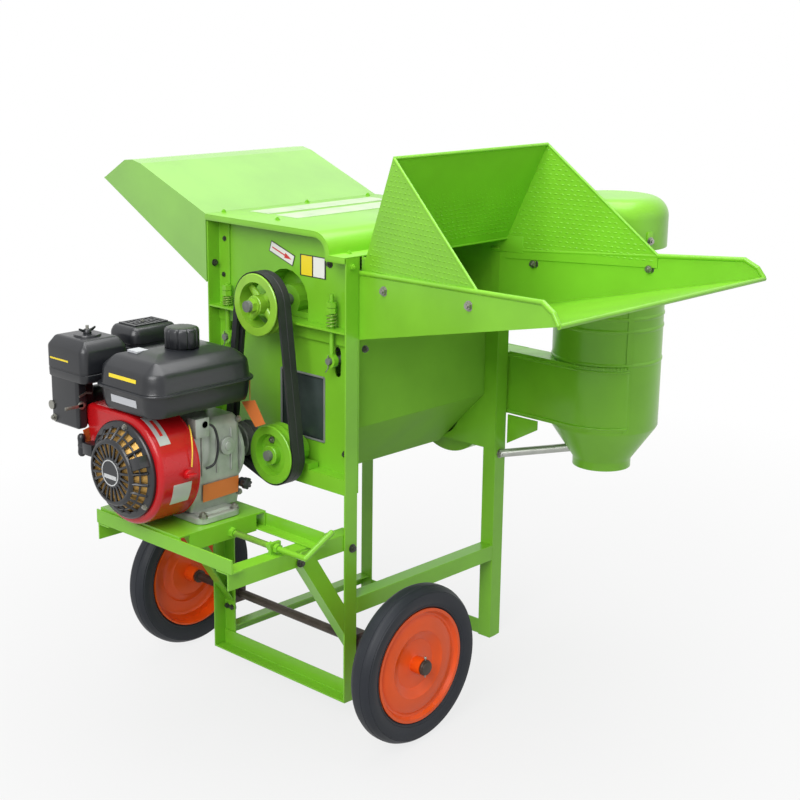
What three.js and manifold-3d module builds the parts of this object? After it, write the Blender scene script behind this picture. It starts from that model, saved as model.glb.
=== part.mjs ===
// A small farm thresher: an angle-iron stand on two wheels, a petrol engine on a sliding base, a
// threshing drum over a spring-hung concave, a suction fan and a cyclone. Millimetres, +Z up.
// -X is the engine side, +X the blower side, -Y the feed side and +Y the straw side.
import * as THREE from 'three';
import { mergeVertices } from 'three/addons/utils/BufferGeometryUtils.js';
import Module from 'manifold-3d';

const wasm = await Module();
wasm.setup();

// Stand
const frameWidth = 375;
const frameDepth = 356;
const frontLegHeight = 801;
const rearLegHeight = 838;
const legFlange = 30;
const angleWall = 3;
const crossFlange = 25;
const rearRailTop = 40;
const frontRailTop = 194;
const seatGap = 0.3;
const runGap = 1;
const overrun = 5;
const weld = 1;
const sheet = 2;

// Engine platform
const armTop = 318;
const armReach = 292;
const crossbarOverhang = 5;
const innerCrossbarX = -93;
const innerCrossbarOverhang = 15;
const baseTop = 348;
const baseFrontY = 130;
const baseRearY = 348;
const baseFrontDrop = 32;
const braceTopX = -143;
const braceTopZ = 308;
const braceFootX = -15;
const braceFootZ = 110;
const screwX = -174;
const screwZ = 328;
const screwRadius = 5;
const screwHandleY = -53;
const screwHandleReach = 59;
const screwHandleRise = 30;
const screwNutRadius = 9;
const screwNutLength = 8;
const guideHeight = 20;
const guideWidth = 24;
const guideY = 22;

// Wheels
const axleX = 15;
const axleZ = 104.5;
const axleRadius = 8.5;
const tyreRadius = 142.5;
const tyreWidth = 45;
const rimRadius = 103;
const rimWidth = 34;
const dishDepth = 9;
const discWall = 3;
const hubRadius = 15;
const hubLength = 50;
const hubBore = 9.5;
const frontWheelY = -125;
const rearWheelY = 481;
const axleCapRadius = 13;
const axleCapWidth = 5;
const clampWidth = 24;
const clampHeight = 34;

// Threshing body
const bodyBottom = 388;
const railTop = 415;
const ledgeTop = 675;
const coverFrontFlange = 36;
const coverOverhang = 4;
const coverLip = 11;
const archRadius = 55;
const pocketDepth = 40;
const windowFrontY = 82;
const windowRearY = 192;
const windowBottom = 463;
const windowTop = 579;
const slotBottom = 586;
const slotTop = 640;
const slotWidth = 14;
const apronFrontY = 30;
const apronRearY = 340;
const apronTop = 655;
const apronRearTop = 712;
const apronFold = 493;
const apronBottom = 379;
const apronOutletY = 140;
const apronOutletGap = 76;

// Straw hood
const hoodRootBottom = 716;
const hoodRidgeY = 566;
const hoodRidgeZ = 920;
const hoodTipY = 656;
const hoodTipZ = 879;
const hoodFlange = 12;
const hoodOverhang = 5;

// Feed tray and hopper
const trayLap = 20;
const trayFloorRoot = 660;
const trayReach = 490;
const trayLipZ = 772;
const trayWallRoot = 773;
const trayWallRun = 35;
const trayWallTop = 800;
const trayFlareShare = 0.202;
const trayRollRadius = 4;
const hopperApexY = -90;
const hopperApexZ = 974;
const hopperBackBaseY = -15;
const hopperBaseZ = 797;
const hopperFrontY = -304;
const hopperLap = 26;

// Drum and concave
const drumY = 178;
const drumZ = 704;
const drumCoreRadius = 72;
const drumTipRadius = 114;
const drumInset = 50;
const drumBarCount = 6;
const drumPegCount = 4;
const pegRadius = 6;
const barHeight = 12;
const barWidth = 22;
const shaftRadius = 10;
const bearingBore = 10.4;
const bearingRadius = 26;
const bearingWidth = 24;
const bearingFoot = 96;
const bearingFootHeight = 10;
const concaveRadius = 127;
const concaveWall = 4;
const concaveInset = 47;
const concaveSweep = 120;
const concaveRowCount = 7;
const concaveSlotCount = 4;
const concaveSlotWidth = 10;
const hangerZ = 618;
const hangerRadius = 6;
const frontRodY = 49;
const rearRodY = 319;
const rodX = -15;
const rodRadius = 4;
const eyeRadius = 12;
const eyeWidth = 10;
const rodTopFront = 734;
const rodTopRear = 716;
const rodNutRadius = 9;
const rodNutHeight = 9;
const springTopFront = 701;
const springTopRear = 694;
const springRadius = 8.5;
const springWire = 2.2;
const springCurls = 4;

// Fan, duct and cyclone
const fanY = 142;
const fanZ = 442;
const fanBladeRadius = 78;
const fanBladeCount = 6;
const fanBladeWidth = 46;
const fanBladeWall = 3;
const fanHubRadius = 20;
const fanShaftRadius = 9;
const scrollStandoff = 33;
const scrollX = frameWidth + scrollStandoff;
const scrollWidth = 60;
const scrollSmall = 86;
const scrollLarge = 132;
const scrollMouthBottom = 455;
const inletRadius = 48;
const cycloneStandoff = 137;
const cycloneX = frameWidth + cycloneStandoff;
const cycloneY = -150;
const cycloneRadius = 102;
const cycloneBottom = 448;
const cycloneTop = 752;
const coneRadius = 55;
const coneBottom = 380;
const spigotBottom = 365;
const pipeRadius = 78;
const pipeTop = 800;
const elbowRadius = 102;
const elbowBottom = 777;
const elbowTop = 882;
const elbowRound = 36;
const elbowShift = 8;
const elbowMouthWidth = 120;
const elbowMouthHeight = 66;
const supportBarRadius = 8;
const supportBarZ = 378;

// Belt drive
const pulleyCentreX = -57;
const pulleyWidth = 34;
const drumPulleyRadius = 54.7;
const fanPulleyRadius = 52.5;
const enginePulleyRadius = 32;
const grooveSpacing = 15;
const grooveHalf = 6.7;
const grooveFloorHalf = 2.95;
const grooveDepth = 10;
const pulleyRimWall = 5;
const pulleyHubRadius = 17;
const pulleyWebWidth = 10;
const pulleyHoleRadius = 13;
const beltHalfTop = 6.5;
const beltHalfFoot = 3.5;
const beltAbove = 3;
const beltBelow = 5;
const beltBridge = 2;

// Engine
const crankY = 232;
const crankZ = 450;
const engineBaseHeight = 17;
const engineBaseLeft = -231;
const engineBaseRight = -137;
const engineBaseHalfDepth = 88;
const crankcaseLeft = -236;
const crankcaseRight = -108;
const crankcaseRadius = 66;
const shroudLeft = -318;
const shroudRadius = 96;
const recoilLeft = -350;
const recoilRadius = 84;
const tankLeft = -330;
const tankRight = -104;
const tankFrontY = 136;
const tankRearY = 300;
const tankBottom = 548;
const tankSeamShare = 3 / 7;
const tankTop = 646;
const tankCorner = 26;
const tankInset = 16;
const fuelCapX = -206;
const fuelCapY = 214;
const fuelCapRadius = 27;
const fuelCapHeight = 34;
const cleanerLeft = -342;
const cleanerRight = -247;
const cleanerFrontY = 307;
const cleanerRearY = 410;
const cleanerBottom = 584;
const cleanerTop = 656;
const carbFront = 331;
const carbBottom = 502;
const carbRadius = 18;
const mufflerLeft = -222;
const mufflerRight = -120;
const mufflerFrontY = 326;
const mufflerRearY = 402;
const mufflerBottom = 576;
const mufflerTop = 662;

// Colours
const limeColour = 0x86c440;
const orangeColour = 0xe8622a;
const rubberColour = 0x35373b;
const steelColour = 0xa8a8a4;
const axleColour = 0x4a413a;
const blackColour = 0x26282b;
const redColour = 0xc4181e;
const castColour = 0x9ba496;

function paint(colour, roughness, metalness) {
  return new THREE.MeshStandardMaterial({ color: colour, roughness, metalness });
}
const paintRough = 0.4;
const paintMetal = 0.1;
const rubberRough = 0.85;
const steelRough = 0.35;
const steelMetal = 0.9;
const castRough = 0.6;
const castMetal = 0.5;
const lime = () => paint(limeColour, paintRough, paintMetal);
const orange = () => paint(orangeColour, paintRough, paintMetal);
const rubber = () => paint(rubberColour, rubberRough, 0);
const steel = () => paint(steelColour, steelRough, steelMetal);
const darkSteel = () => paint(axleColour, castRough, castMetal);
const black = () => paint(blackColour, paintRough, 0);
const red = () => paint(redColour, paintRough, paintMetal);
const cast = () => paint(castColour, castRough, castMetal);

// Solids and booleans
const machine = new THREE.Group();
const fine = 20;
const plain = 16;
const coarse = 10;
const thin = 8;
const hexagon = 6;

function toSolid(geometry) {
  const bare = geometry.index ? geometry.toNonIndexed() : geometry.clone();
  bare.deleteAttribute('normal');
  bare.deleteAttribute('uv');
  const merged = mergeVertices(bare);
  const corners = merged.index.array;
  const build = (order) => {
    const triangles = [];
    for (let i = 0; i < corners.length; i += 3) {
      const [a, b, c] = order.map((k) => corners[i + k]);
      if (a !== b && b !== c && c !== a) triangles.push(a, b, c);
    }
    return new wasm.Manifold(new wasm.Mesh({
      numProp: 3,
      vertProperties: Float32Array.from(merged.attributes.position.array),
      triVerts: Uint32Array.from(triangles),
    }));
  };
  const solid = build([0, 1, 2]);
  return solid.volume() > 0 ? solid : build([0, 2, 1]);
}

function toGeometry(solid) {
  const mesh = solid.getMesh();
  const geometry = new THREE.BufferGeometry();
  geometry.setAttribute('position', new THREE.BufferAttribute(Float32Array.from(mesh.vertProperties), 3));
  geometry.setIndex(new THREE.BufferAttribute(Uint32Array.from(mesh.triVerts), 1));
  return geometry;
}

function piece(name, solid, material) {
  const mesh = new THREE.Mesh(toGeometry(solid), material);
  mesh.name = name;
  machine.add(mesh);
}

function join(...solids) {
  return solids.reduce((whole, solid) => whole.add(solid));
}

function cut(solid, ...tools) {
  return tools.reduce((whole, tool) => whole.subtract(tool), solid);
}

// A box from its lowest and highest corners.
function block(x0, x1, y0, y1, z0, z1) {
  const geometry = new THREE.BoxGeometry(x1 - x0, y1 - y0, z1 - z0);
  geometry.translate((x0 + x1) / 2, (y0 + y1) / 2, (z0 + z1) / 2);
  return toSolid(geometry);
}

function outline(points, holes = []) {
  const shape = new THREE.Shape(points.map(([u, v]) => new THREE.Vector2(u, v)));
  for (const hole of holes) {
    shape.holes.push(new THREE.Path(hole.map(([u, v]) => new THREE.Vector2(u, v))));
  }
  return shape;
}

// Prisms: an outline in the plane across X (y, z), across Y (x, z) or across Z (x, y).
function prismX(points, x0, x1, holes) {
  const geometry = new THREE.ExtrudeGeometry(outline(points, holes), { depth: x1 - x0, bevelEnabled: false });
  const frame = new THREE.Matrix4().makeBasis(
    new THREE.Vector3(0, 1, 0), new THREE.Vector3(0, 0, 1), new THREE.Vector3(1, 0, 0));
  geometry.applyMatrix4(frame.setPosition(x0, 0, 0));
  return toSolid(geometry);
}

function prismY(points, y0, y1, holes) {
  const geometry = new THREE.ExtrudeGeometry(outline(points, holes), { depth: y1 - y0, bevelEnabled: false });
  const frame = new THREE.Matrix4().makeBasis(
    new THREE.Vector3(1, 0, 0), new THREE.Vector3(0, 0, 1), new THREE.Vector3(0, -1, 0));
  geometry.applyMatrix4(frame.setPosition(0, y1, 0));
  return toSolid(geometry);
}

function prismZ(points, z0, z1, holes) {
  const geometry = new THREE.ExtrudeGeometry(outline(points, holes), { depth: z1 - z0, bevelEnabled: false });
  geometry.translate(0, 0, z0);
  return toSolid(geometry);
}

// Points along an arc, angles in degrees from the first axis towards the second.
function arc(cu, cv, radius, from, to, steps) {
  const points = [];
  for (let i = 0; i <= steps; i += 1) {
    const angle = THREE.MathUtils.degToRad(from + ((to - from) * i) / steps);
    points.push([cu + radius * Math.cos(angle), cv + radius * Math.sin(angle)]);
  }
  return points;
}

// An L section with its heel at (u, v) and its legs running to du and dv.
function ell(u, v, du, dv, wall = angleWall) {
  const wu = Math.sign(du) * wall;
  const wv = Math.sign(dv) * wall;
  return [[u, v], [u + du, v], [u + du, v + wv], [u + wu, v + wv], [u + wu, v + dv], [u, v + dv]];
}

// A round bar between two points.
function rod(from, to, radius, sides = coarse) {
  const start = new THREE.Vector3(...from);
  const end = new THREE.Vector3(...to);
  const geometry = new THREE.CylinderGeometry(radius, radius, start.distanceTo(end), sides);
  const turn = new THREE.Quaternion().setFromUnitVectors(
    new THREE.Vector3(0, 1, 0), end.clone().sub(start).normalize());
  geometry.applyQuaternion(turn);
  const middle = start.add(end).multiplyScalar(1 / 2);
  geometry.translate(middle.x, middle.y, middle.z);
  return toSolid(geometry);
}

// A turned shape: profile of (radius, height) pairs about Z, X or Y through a centre.
function turned(profile, sides) {
  const geometry = new THREE.LatheGeometry(profile.map(([r, h]) => new THREE.Vector2(r, h)), sides);
  geometry.rotateX(Math.PI / 2);
  return geometry;
}

function turnedZ(profile, cx, cy, sides = plain) {
  const geometry = turned(profile, sides);
  geometry.translate(cx, cy, 0);
  return toSolid(geometry);
}

function turnedX(profile, cy, cz, sides = plain) {
  const geometry = turned(profile, sides);
  geometry.rotateY(Math.PI / 2);
  geometry.translate(0, cy, cz);
  return toSolid(geometry);
}

function turnedY(profile, cx, cz, sides = plain) {
  const geometry = turned(profile, sides);
  geometry.rotateX(-Math.PI / 2);
  geometry.translate(cx, 0, cz);
  return toSolid(geometry);
}

function disc(axis, cu, cv, radius, from, to, sides = plain) {
  const profile = [[0, from], [radius, from], [radius, to], [0, to]];
  if (axis === 'x') return turnedX(profile, cu, cv, sides);
  if (axis === 'y') return turnedY(profile, cu, cv, sides);
  return turnedZ(profile, cu, cv, sides);
}

// The mirror image of a solid across the middle plane of the stand.
function acrossWidth(solid) {
  return solid.mirror([1, 0, 0]).translate([frameWidth, 0, 0]);
}

function acrossDepth(solid) {
  return solid.mirror([0, 1, 0]).translate([0, frameDepth, 0]);
}

// A band of even wall along a polyline, laid on its left side.
function ribbon(points, wall) {
  const last = points.length - 1;
  const inner = points.map(([u, v], i) => {
    const before = points[Math.max(i - 1, 0)];
    const after = points[Math.min(i + 1, last)];
    const into = new THREE.Vector2(u - before[0], v - before[1]);
    const out = new THREE.Vector2(after[0] - u, after[1] - v);
    const a = (i === 0 ? out : into).clone().normalize();
    const b = (i === last ? into : out).clone().normalize();
    const mitre = new THREE.Vector2(-a.y - b.y, a.x + b.x).normalize();
    const reach = wall / (mitre.x * -a.y + mitre.y * a.x);
    return [u + mitre.x * reach, v + mitre.y * reach];
  });
  return [...points, ...inner.reverse()];
}

// A skin through rings of points that all have the same count, closed at both ends.
function loft(rings) {
  const count = rings[0].length;
  const positions = rings.flat(2);
  const centres = [rings[0], rings[rings.length - 1]].map((ring) => {
    const sum = ring.reduce((total, point) => total.map((value, i) => value + point[i]), [0, 0, 0]);
    return sum.map((value) => value / count);
  });
  const firstCentre = positions.length / 3;
  positions.push(...centres[0], ...centres[1]);
  const index = [];
  for (let i = 0; i < count; i += 1) {
    const next = (i + 1) % count;
    for (let k = 0; k < rings.length - 1; k += 1) {
      const a = k * count;
      const b = a + count;
      index.push(a + i, a + next, b + i, b + i, a + next, b + next);
    }
    const top = (rings.length - 1) * count;
    index.push(firstCentre, next, i, firstCentre + 1, top + i, top + next);
  }
  const geometry = new THREE.BufferGeometry();
  geometry.setAttribute('position', new THREE.BufferAttribute(new Float32Array(positions), 3));
  geometry.setIndex(index);
  return toSolid(geometry);
}

// A rounded rectangle at one height, for lofting.
function roundedRing(x0, x1, y0, y1, radius, z) {
  const steps = 3;
  const corners = [[x1 - radius, y1 - radius, 0], [x0 + radius, y1 - radius, 90],
    [x0 + radius, y0 + radius, 180], [x1 - radius, y0 + radius, 270]];
  return corners.flatMap(([cx, cy, start]) => arc(cx, cy, radius, start, start + 90, steps)
    .map(([x, y]) => [x, y, z]));
}

// Stand: four legs, two bottom rails, a front and a rear lower rail, all angle iron.
const right = frameWidth;
const rear = frameDepth;
const insideFlange = angleWall + seatGap;
const legs = [
  ['front_left_leg', 0, 0, -legFlange, legFlange, frontLegHeight],
  ['rear_left_leg', 0, rear, -legFlange, -legFlange, rearLegHeight],
  ['front_right_leg', right, 0, legFlange, legFlange, frontLegHeight],
  ['rear_right_leg', right, rear, legFlange, -legFlange, rearLegHeight],
];
for (const [name, x, y, dx, dy, height] of legs) {
  piece(name, prismZ(ell(x, y, dx, dy), 0, height), lime());
}
const railReach = legFlange - insideFlange;
const leftBottomRail = prismY(ell(-insideFlange, 0, -railReach, legFlange), insideFlange, rear - insideFlange);
piece('left_bottom_rail', leftBottomRail, lime());
piece('right_bottom_rail', acrossWidth(leftBottomRail), lime());
piece('rear_lower_rail', prismX(ell(rear, rearRailTop, -crossFlange, -crossFlange),
  seatGap, right - seatGap), lime());
piece('front_lower_rail', prismX(ell(0, frontRailTop, legFlange, -legFlange),
  seatGap, right - seatGap), lime());

// Engine platform: two arms from the left legs, braced from below, with two crossbars on top.
const armEndX = -armReach;
const crossZ = armTop + seatGap;
const screwBore = screwRadius + seatGap * 2;
const screwAxis = { x: screwX, z: screwZ };
const armProfile = ell(insideFlange, armTop, legFlange, -legFlange);
const plainArm = prismX(armProfile, armEndX, -insideFlange);
const guide = cut(
  block(screwX - guideWidth / 2, screwX + guideWidth / 2, guideY - angleWall, guideY + angleWall,
    armTop - angleWall / 2, armTop + guideHeight),
  disc('y', screwAxis.x, screwAxis.z, screwBore, 0, legFlange * 2));
piece('front_arm', join(plainArm, guide), lime());
piece('rear_arm', acrossDepth(plainArm), lime());
piece('outer_crossbar', prismY(ell(armEndX, crossZ, crossFlange, crossFlange),
  -crossbarOverhang, rear), lime());
piece('inner_crossbar', prismY(ell(innerCrossbarX, crossZ, -crossFlange, crossFlange),
  -innerCrossbarOverhang, rear), lime());

const braceRun = new THREE.Vector2(braceFootX - braceTopX, braceFootZ - braceTopZ);
const braceLength = braceRun.length();
const braceAlong = braceRun.clone().normalize();
const braceAcross = new THREE.Vector2(-braceAlong.y, braceAlong.x);
function bracePoint(along, across) {
  return [braceTopX + braceAlong.x * along + braceAcross.x * across,
    braceTopZ + braceAlong.y * along + braceAcross.y * across];
}
function braceStrip(width) {
  return [bracePoint(0, 0), bracePoint(braceLength + legFlange, 0),
    bracePoint(braceLength + legFlange, width), bracePoint(0, width)];
}
const legClear = block(-legFlange - seatGap, right, -overrun, insideFlange, 0, armTop);
const heelClear = block(-insideFlange, right, -overrun, rear, 0, armTop);
const armClear = join(
  block(armEndX, right, angleWall - seatGap, rear, armTop - legFlange - seatGap, rear),
  block(armEndX, right, -overrun, rear, armTop - angleWall, rear));
const frontBrace = cut(join(
  prismY(braceStrip(legFlange), 0, angleWall),
  prismY(braceStrip(angleWall), 0, legFlange - angleWall)), legClear, heelClear, armClear);
piece('front_brace', frontBrace, lime());
piece('rear_brace', acrossDepth(frontBrace), lime());

// Sliding base: a channel plate that rests on the crossbars and carries the engine.
const crossSeat = crossZ + angleWall + seatGap;
const baseLeft = armEndX + angleWall + seatGap;
const baseRight = innerCrossbarX - angleWall - seatGap;
const baseChannel = [[baseLeft, crossSeat], [baseLeft, baseTop], [baseRight, baseTop], [baseRight, crossSeat],
  [baseRight - angleWall, crossSeat], [baseRight - angleWall, baseTop - angleWall],
  [baseLeft + angleWall, baseTop - angleWall], [baseLeft + angleWall, crossSeat]];
const baseFlangeLeft = armEndX + crossFlange + seatGap;
const baseFlangeRight = innerCrossbarX - crossFlange - seatGap;
const slideBase = cut(join(
  prismY(baseChannel, baseFrontY, baseRearY),
  block(baseFlangeLeft, baseFlangeRight, baseFrontY, baseFrontY + angleWall, baseTop - baseFrontDrop, baseTop),
  disc('y', screwX, screwZ, screwNutRadius, baseFrontY - screwNutLength, baseFrontY + angleWall, hexagon)),
disc('y', screwX, screwZ, screwBore, 0, rear));
piece('slide_base', slideBase, lime());

const collarRadius = screwNutRadius - seatGap;
const screw = join(
  rod([screwX, baseFrontY + legFlange, screwZ], [screwX, screwHandleY, screwZ], screwRadius),
  disc('y', screwX, screwZ, collarRadius, guideY + angleWall + runGap,
    guideY + angleWall + screwNutLength, hexagon),
  disc('y', screwX, screwZ, collarRadius, guideY - angleWall - screwNutLength,
    guideY - angleWall - runGap, hexagon),
  rod([screwX - screwRadius / 2, screwHandleY, screwZ],
    [screwX + screwHandleReach, screwHandleY, screwZ + screwHandleRise], screwRadius));
piece('tension_screw', screw, lime());

// Wheels: an axle bar clamped inside the left legs, with a rubber tyre on a pressed disc at each end.
const hubHalf = hubLength / 2;
const clampTop = axleZ + clampHeight / 2;
const clampFoot = axleZ - clampHeight / 2;
const axleBack = rearWheelY + hubHalf + runGap;
const axleFront = frontWheelY - hubHalf - runGap;
const axle = join(
  disc('y', axleX, axleZ, axleRadius, axleFront - axleCapWidth, axleBack + axleCapWidth, coarse),
  disc('y', axleX, axleZ, axleCapRadius, axleFront - axleCapWidth, axleFront, coarse),
  disc('y', axleX, axleZ, axleCapRadius, axleBack, axleBack + axleCapWidth, coarse),
  disc('y', axleX, axleZ, axleCapRadius, frontWheelY + hubHalf + runGap,
    frontWheelY + hubHalf + runGap + axleCapWidth, coarse),
  disc('y', axleX, axleZ, axleCapRadius, rearWheelY - hubHalf - runGap - axleCapWidth,
    rearWheelY - hubHalf - runGap, coarse),
  block(seatGap, axleX + axleCapRadius, insideFlange, insideFlange + clampWidth, clampFoot, clampTop),
  block(seatGap, axleX + axleCapRadius, rear - insideFlange - clampWidth, rear - insideFlange,
    clampFoot, clampTop));
piece('axle', axle, darkSteel());

const tyreHalf = tyreWidth / 2;
const tyreDepth = tyreRadius - rimRadius;
const tyreShares = [[0, -0.62], [0, 0.62], [0.2, 0.85], [0.6, 1], [0.88, 0.8], [1, 0.36],
  [1, -0.36], [0.88, -0.8], [0.6, -1], [0.2, -0.85], [0, -0.62]];
function wheel(sideName, centreY, outward) {
  const tyreProfile = tyreShares.map(([depthShare, widthShare]) => [
    rimRadius + seatGap + (tyreDepth - seatGap) * depthShare, centreY + tyreHalf * widthShare]);
  piece(`${sideName}_tyre`, turnedY(tyreProfile, axleX, axleZ, fine), rubber());
  const rimHalf = rimWidth / 2;
  const webFace = outward * discWall;
  const dishShare = 0.9;
  const dishRadius = rimRadius * dishShare;
  const shoulderShare = 0.68;
  const shoulderRadius = rimRadius * shoulderShare;
  const discProfile = [
    [hubBore, outward * hubHalf], [hubRadius, outward * hubHalf], [hubRadius, webFace],
    [shoulderRadius, webFace], [dishRadius, outward * dishDepth],
    [rimRadius - discWall * 2, outward * rimHalf], [rimRadius, outward * rimHalf],
    [rimRadius, -outward * rimHalf], [rimRadius - discWall, -outward * rimHalf],
    [rimRadius - discWall, outward * dishDepth], [dishRadius + discWall / 2, webFace * 2],
    [shoulderRadius, 0], [hubRadius, 0], [hubRadius, -outward * hubHalf], [hubBore, -outward * hubHalf],
    [hubBore, outward * hubHalf]].map(([r, h]) => [r, centreY + h]);
  piece(`${sideName}_wheel_disc`, turnedY(discProfile, axleX, axleZ, fine), orange());
}
wheel('front', frontWheelY, -1);
wheel('rear', rearWheelY, 1);

// Threshing body: the cover line runs from the rear edge over the front round to the front flange.
const coverTop = rearLegHeight + seatGap + sheet;
const coverFlangeTop = frontLegHeight + seatGap + sheet;
const coverRound = coverTop - coverFlangeTop;
const roundSteps = 4;
function coverLine(offset) {
  return [[rear, coverTop - offset],
    ...arc(coverFrontFlange + coverRound, coverFlangeTop, coverRound - offset, 90, 180, roundSteps)
      .slice(0, -1),
    [coverFrontFlange + offset, coverFlangeTop - offset], [0, coverFlangeTop - offset]];
}
const coverLeft = -legFlange - coverOverhang;
const coverRight = right + legFlange + coverOverhang;
const coverBand = [...coverLine(0), ...coverLine(sheet).reverse()];
const lipBand = [...coverLine(0), ...coverLine(coverLip).reverse()];
piece('top_cover', join(
  prismX(coverBand, coverLeft, coverRight),
  prismX(lipBand, coverLeft, coverLeft + sheet),
  prismX(lipBand, coverRight - sheet, coverRight)), lime());

// End panels: a sheet with a bearing pocket, a ledge for the sprung rods and a bottom rail.
const panelFace = seatGap;
const panelBack = seatGap + sheet;
function archOutline(growth) {
  const floor = ledgeTop - growth;
  return [[drumY - archRadius - growth, floor], [drumY + archRadius + growth, floor],
    ...arc(drumY, drumZ, archRadius + growth, 0, 180, coarse)];
}
function slotOutline(centreY) {
  const half = slotWidth / 2;
  return [...arc(centreY, slotTop - half, half, 0, 180, roundSteps),
    ...arc(centreY, slotBottom + half, half, 180, 360, roundSteps)];
}
const betweenFlanges = { front: legFlange + seatGap, back: rear - legFlange - seatGap };
const rodHoleRadius = rodRadius + runGap;
const bodyRailX = -legFlange + angleWall;
function endPanel(hasWindow) {
  const plate = prismX([...coverLine(sheet + seatGap), [0, bodyBottom], [rear, bodyBottom]],
    panelFace, panelBack);
  const pocket = prismX(archOutline(sheet), panelFace, pocketDepth);
  const ledge = join(
    prismY(ell(-insideFlange, ledgeTop, -railReach, -legFlange), insideFlange, rear - insideFlange),
    block(-insideFlange - angleWall / 2, panelBack, betweenFlanges.front, betweenFlanges.back,
      ledgeTop - legFlange, ledgeTop));
  const rail = join(
    prismY(ell(bodyRailX, railTop, -bodyRailX - insideFlange, bodyBottom - railTop),
      insideFlange, rear - insideFlange),
    block(bodyRailX + angleWall / 2, panelBack, betweenFlanges.front, betweenFlanges.back,
      railTop - angleWall, railTop));
  const openings = [
    prismX(archOutline(0), -legFlange, pocketDepth - sheet),
    disc('x', drumY, drumZ, shaftRadius + sheet, 0, pocketDepth * 2),
    prismX(slotOutline(frontRodY), -overrun, overrun),
    prismX(slotOutline(rearRodY), -overrun, overrun),
    disc('z', rodX, frontRodY, rodHoleRadius, ledgeTop - legFlange, rear * 2, coarse),
    disc('z', rodX, rearRodY, rodHoleRadius, ledgeTop - legFlange, rear * 2, coarse)];
  if (hasWindow) {
    openings.push(block(-overrun, overrun, windowFrontY, windowRearY, windowBottom, windowTop));
  }
  return cut(join(plate, pocket, ledge, rail), ...openings);
}
const fanShaftHole = disc('x', fanY, fanZ, fanShaftRadius + sheet, -overrun, overrun);
piece('left_end_panel', cut(endPanel(true), fanShaftHole), lime());
const collarClear = disc('x', fanY, fanZ, inletRadius + sheet + seatGap, -legFlange, overrun);
piece('right_end_panel', acrossWidth(cut(endPanel(false), collarClear)), lime());

// Lower shroud: front and rear sheets that funnel the grain to an outlet across the bottom.
const insidePanel = panelBack + seatGap;
const apronRearOutletY = apronOutletY + apronOutletGap;
const tieWidth = legFlange / 2;
const outletTie = block(insidePanel, insidePanel + tieWidth, apronOutletY, apronRearOutletY,
  apronBottom, apronBottom + sheet);
piece('lower_shroud', join(
  prismX(ribbon([[apronFrontY, apronTop], [apronFrontY, apronFold], [apronOutletY, apronBottom]], sheet),
    insidePanel, right - insidePanel),
  prismX(ribbon([[apronRearOutletY, apronBottom], [apronRearY, apronFold], [apronRearY, apronRearTop]], sheet),
    insidePanel, right - insidePanel),
  outletTie, acrossWidth(outletTie)), lime());

// Straw hood: a sloping roof with two side sheets, open below, hung on the rear legs.
const hoodRoot = rear + seatGap;
const hoodLeft = -legFlange - sheet;
const hoodRight = right + legFlange + sheet;
const ridgeRound = hoodFlange * 2;
const hoodRoof = [[hoodTipY, hoodTipZ], [hoodRidgeY + ridgeRound, hoodRidgeZ - sheet],
  [hoodRidgeY, hoodRidgeZ], [hoodRidgeY - ridgeRound, hoodRidgeZ - hoodOverhang], [hoodRoot, coverTop]];
const hoodSide = [...hoodRoof, [hoodRoot, hoodRootBottom]];
const hoodEdge = ribbon([[hoodTipY, hoodTipZ], [hoodRoot, hoodRootBottom]].reverse(), sheet);
const hoodHalf = join(
  prismX(hoodSide, hoodLeft, hoodLeft + sheet),
  prismX(hoodEdge, hoodLeft, hoodLeft + hoodFlange),
  block(hoodLeft, hoodLeft + hoodFlange, hoodRoot, hoodRoot + sheet, hoodRootBottom, coverTop - sheet));
piece('straw_hood', cut(join(prismX(ribbon(hoodRoof, sheet), hoodLeft, hoodRight), hoodHalf,
  acrossWidth(hoodHalf)), block(hoodLeft, hoodRight, 0, hoodRoot, 0, hoodRidgeZ)), lime());

// Feed tray: a flared trough whose root laps inside the end panels.
const trayRootX = insidePanel;
const flareAt = (y) => -trayFlareShare * Math.abs(Math.min(y, 0));
function trayEdge(offset, y) {
  return [trayRootX + offset + flareAt(y), y];
}
function trayStrip(from, to, front, back) {
  return [trayEdge(from, back), trayEdge(from, 0), trayEdge(from, front),
    trayEdge(to, front), trayEdge(to, 0), trayEdge(to, back)];
}
function trayPlan(offset, front, back) {
  const flip = ([x, y]) => [right - x, y];
  return [trayEdge(offset, back), trayEdge(offset, 0), trayEdge(offset, front),
    flip(trayEdge(offset, front)), flip(trayEdge(offset, 0)), flip(trayEdge(offset, back))];
}
const farX = frameWidth * 2;
const trayFloor = prismX(ribbon([[trayLap, trayFloorRoot], [0, trayFloorRoot], [-trayReach, trayLipZ]], -sheet),
  -farX, farX).intersect(prismZ(trayPlan(0, -trayReach, trayLap), 0, trayLipZ * 2));
const trayWallTopY = trayWallRun - trayReach;
const shoulderRunShare = 2 / 3;
const shoulderDropShare = 5 / 12;
const shoulderY = trayWallTopY - trayWallRun * shoulderRunShare;
const shoulderZ = trayWallTop - (trayWallTop - trayLipZ) * shoulderDropShare;
const trayWallOutline = [[trayLap, trayFloorRoot], [trayLap, trayWallRoot], [0, trayWallRoot],
  [trayWallTopY, trayWallTop], [shoulderY, shoulderZ],
  [-trayReach, trayLipZ], [0, trayFloorRoot]];
const trayWall = prismX(trayWallOutline, -farX, farX)
  .intersect(prismZ(trayStrip(0, sheet, -trayReach, trayLap), 0, trayWallTop * 2));
const lipEnd = trayEdge(0, -trayReach)[0];
piece('feed_tray', join(trayFloor, trayWall, acrossWidth(trayWall),
  rod([lipEnd, -trayReach, trayLipZ], [right - lipEnd, -trayReach, trayLipZ], trayRollRadius)), lime());

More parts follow.
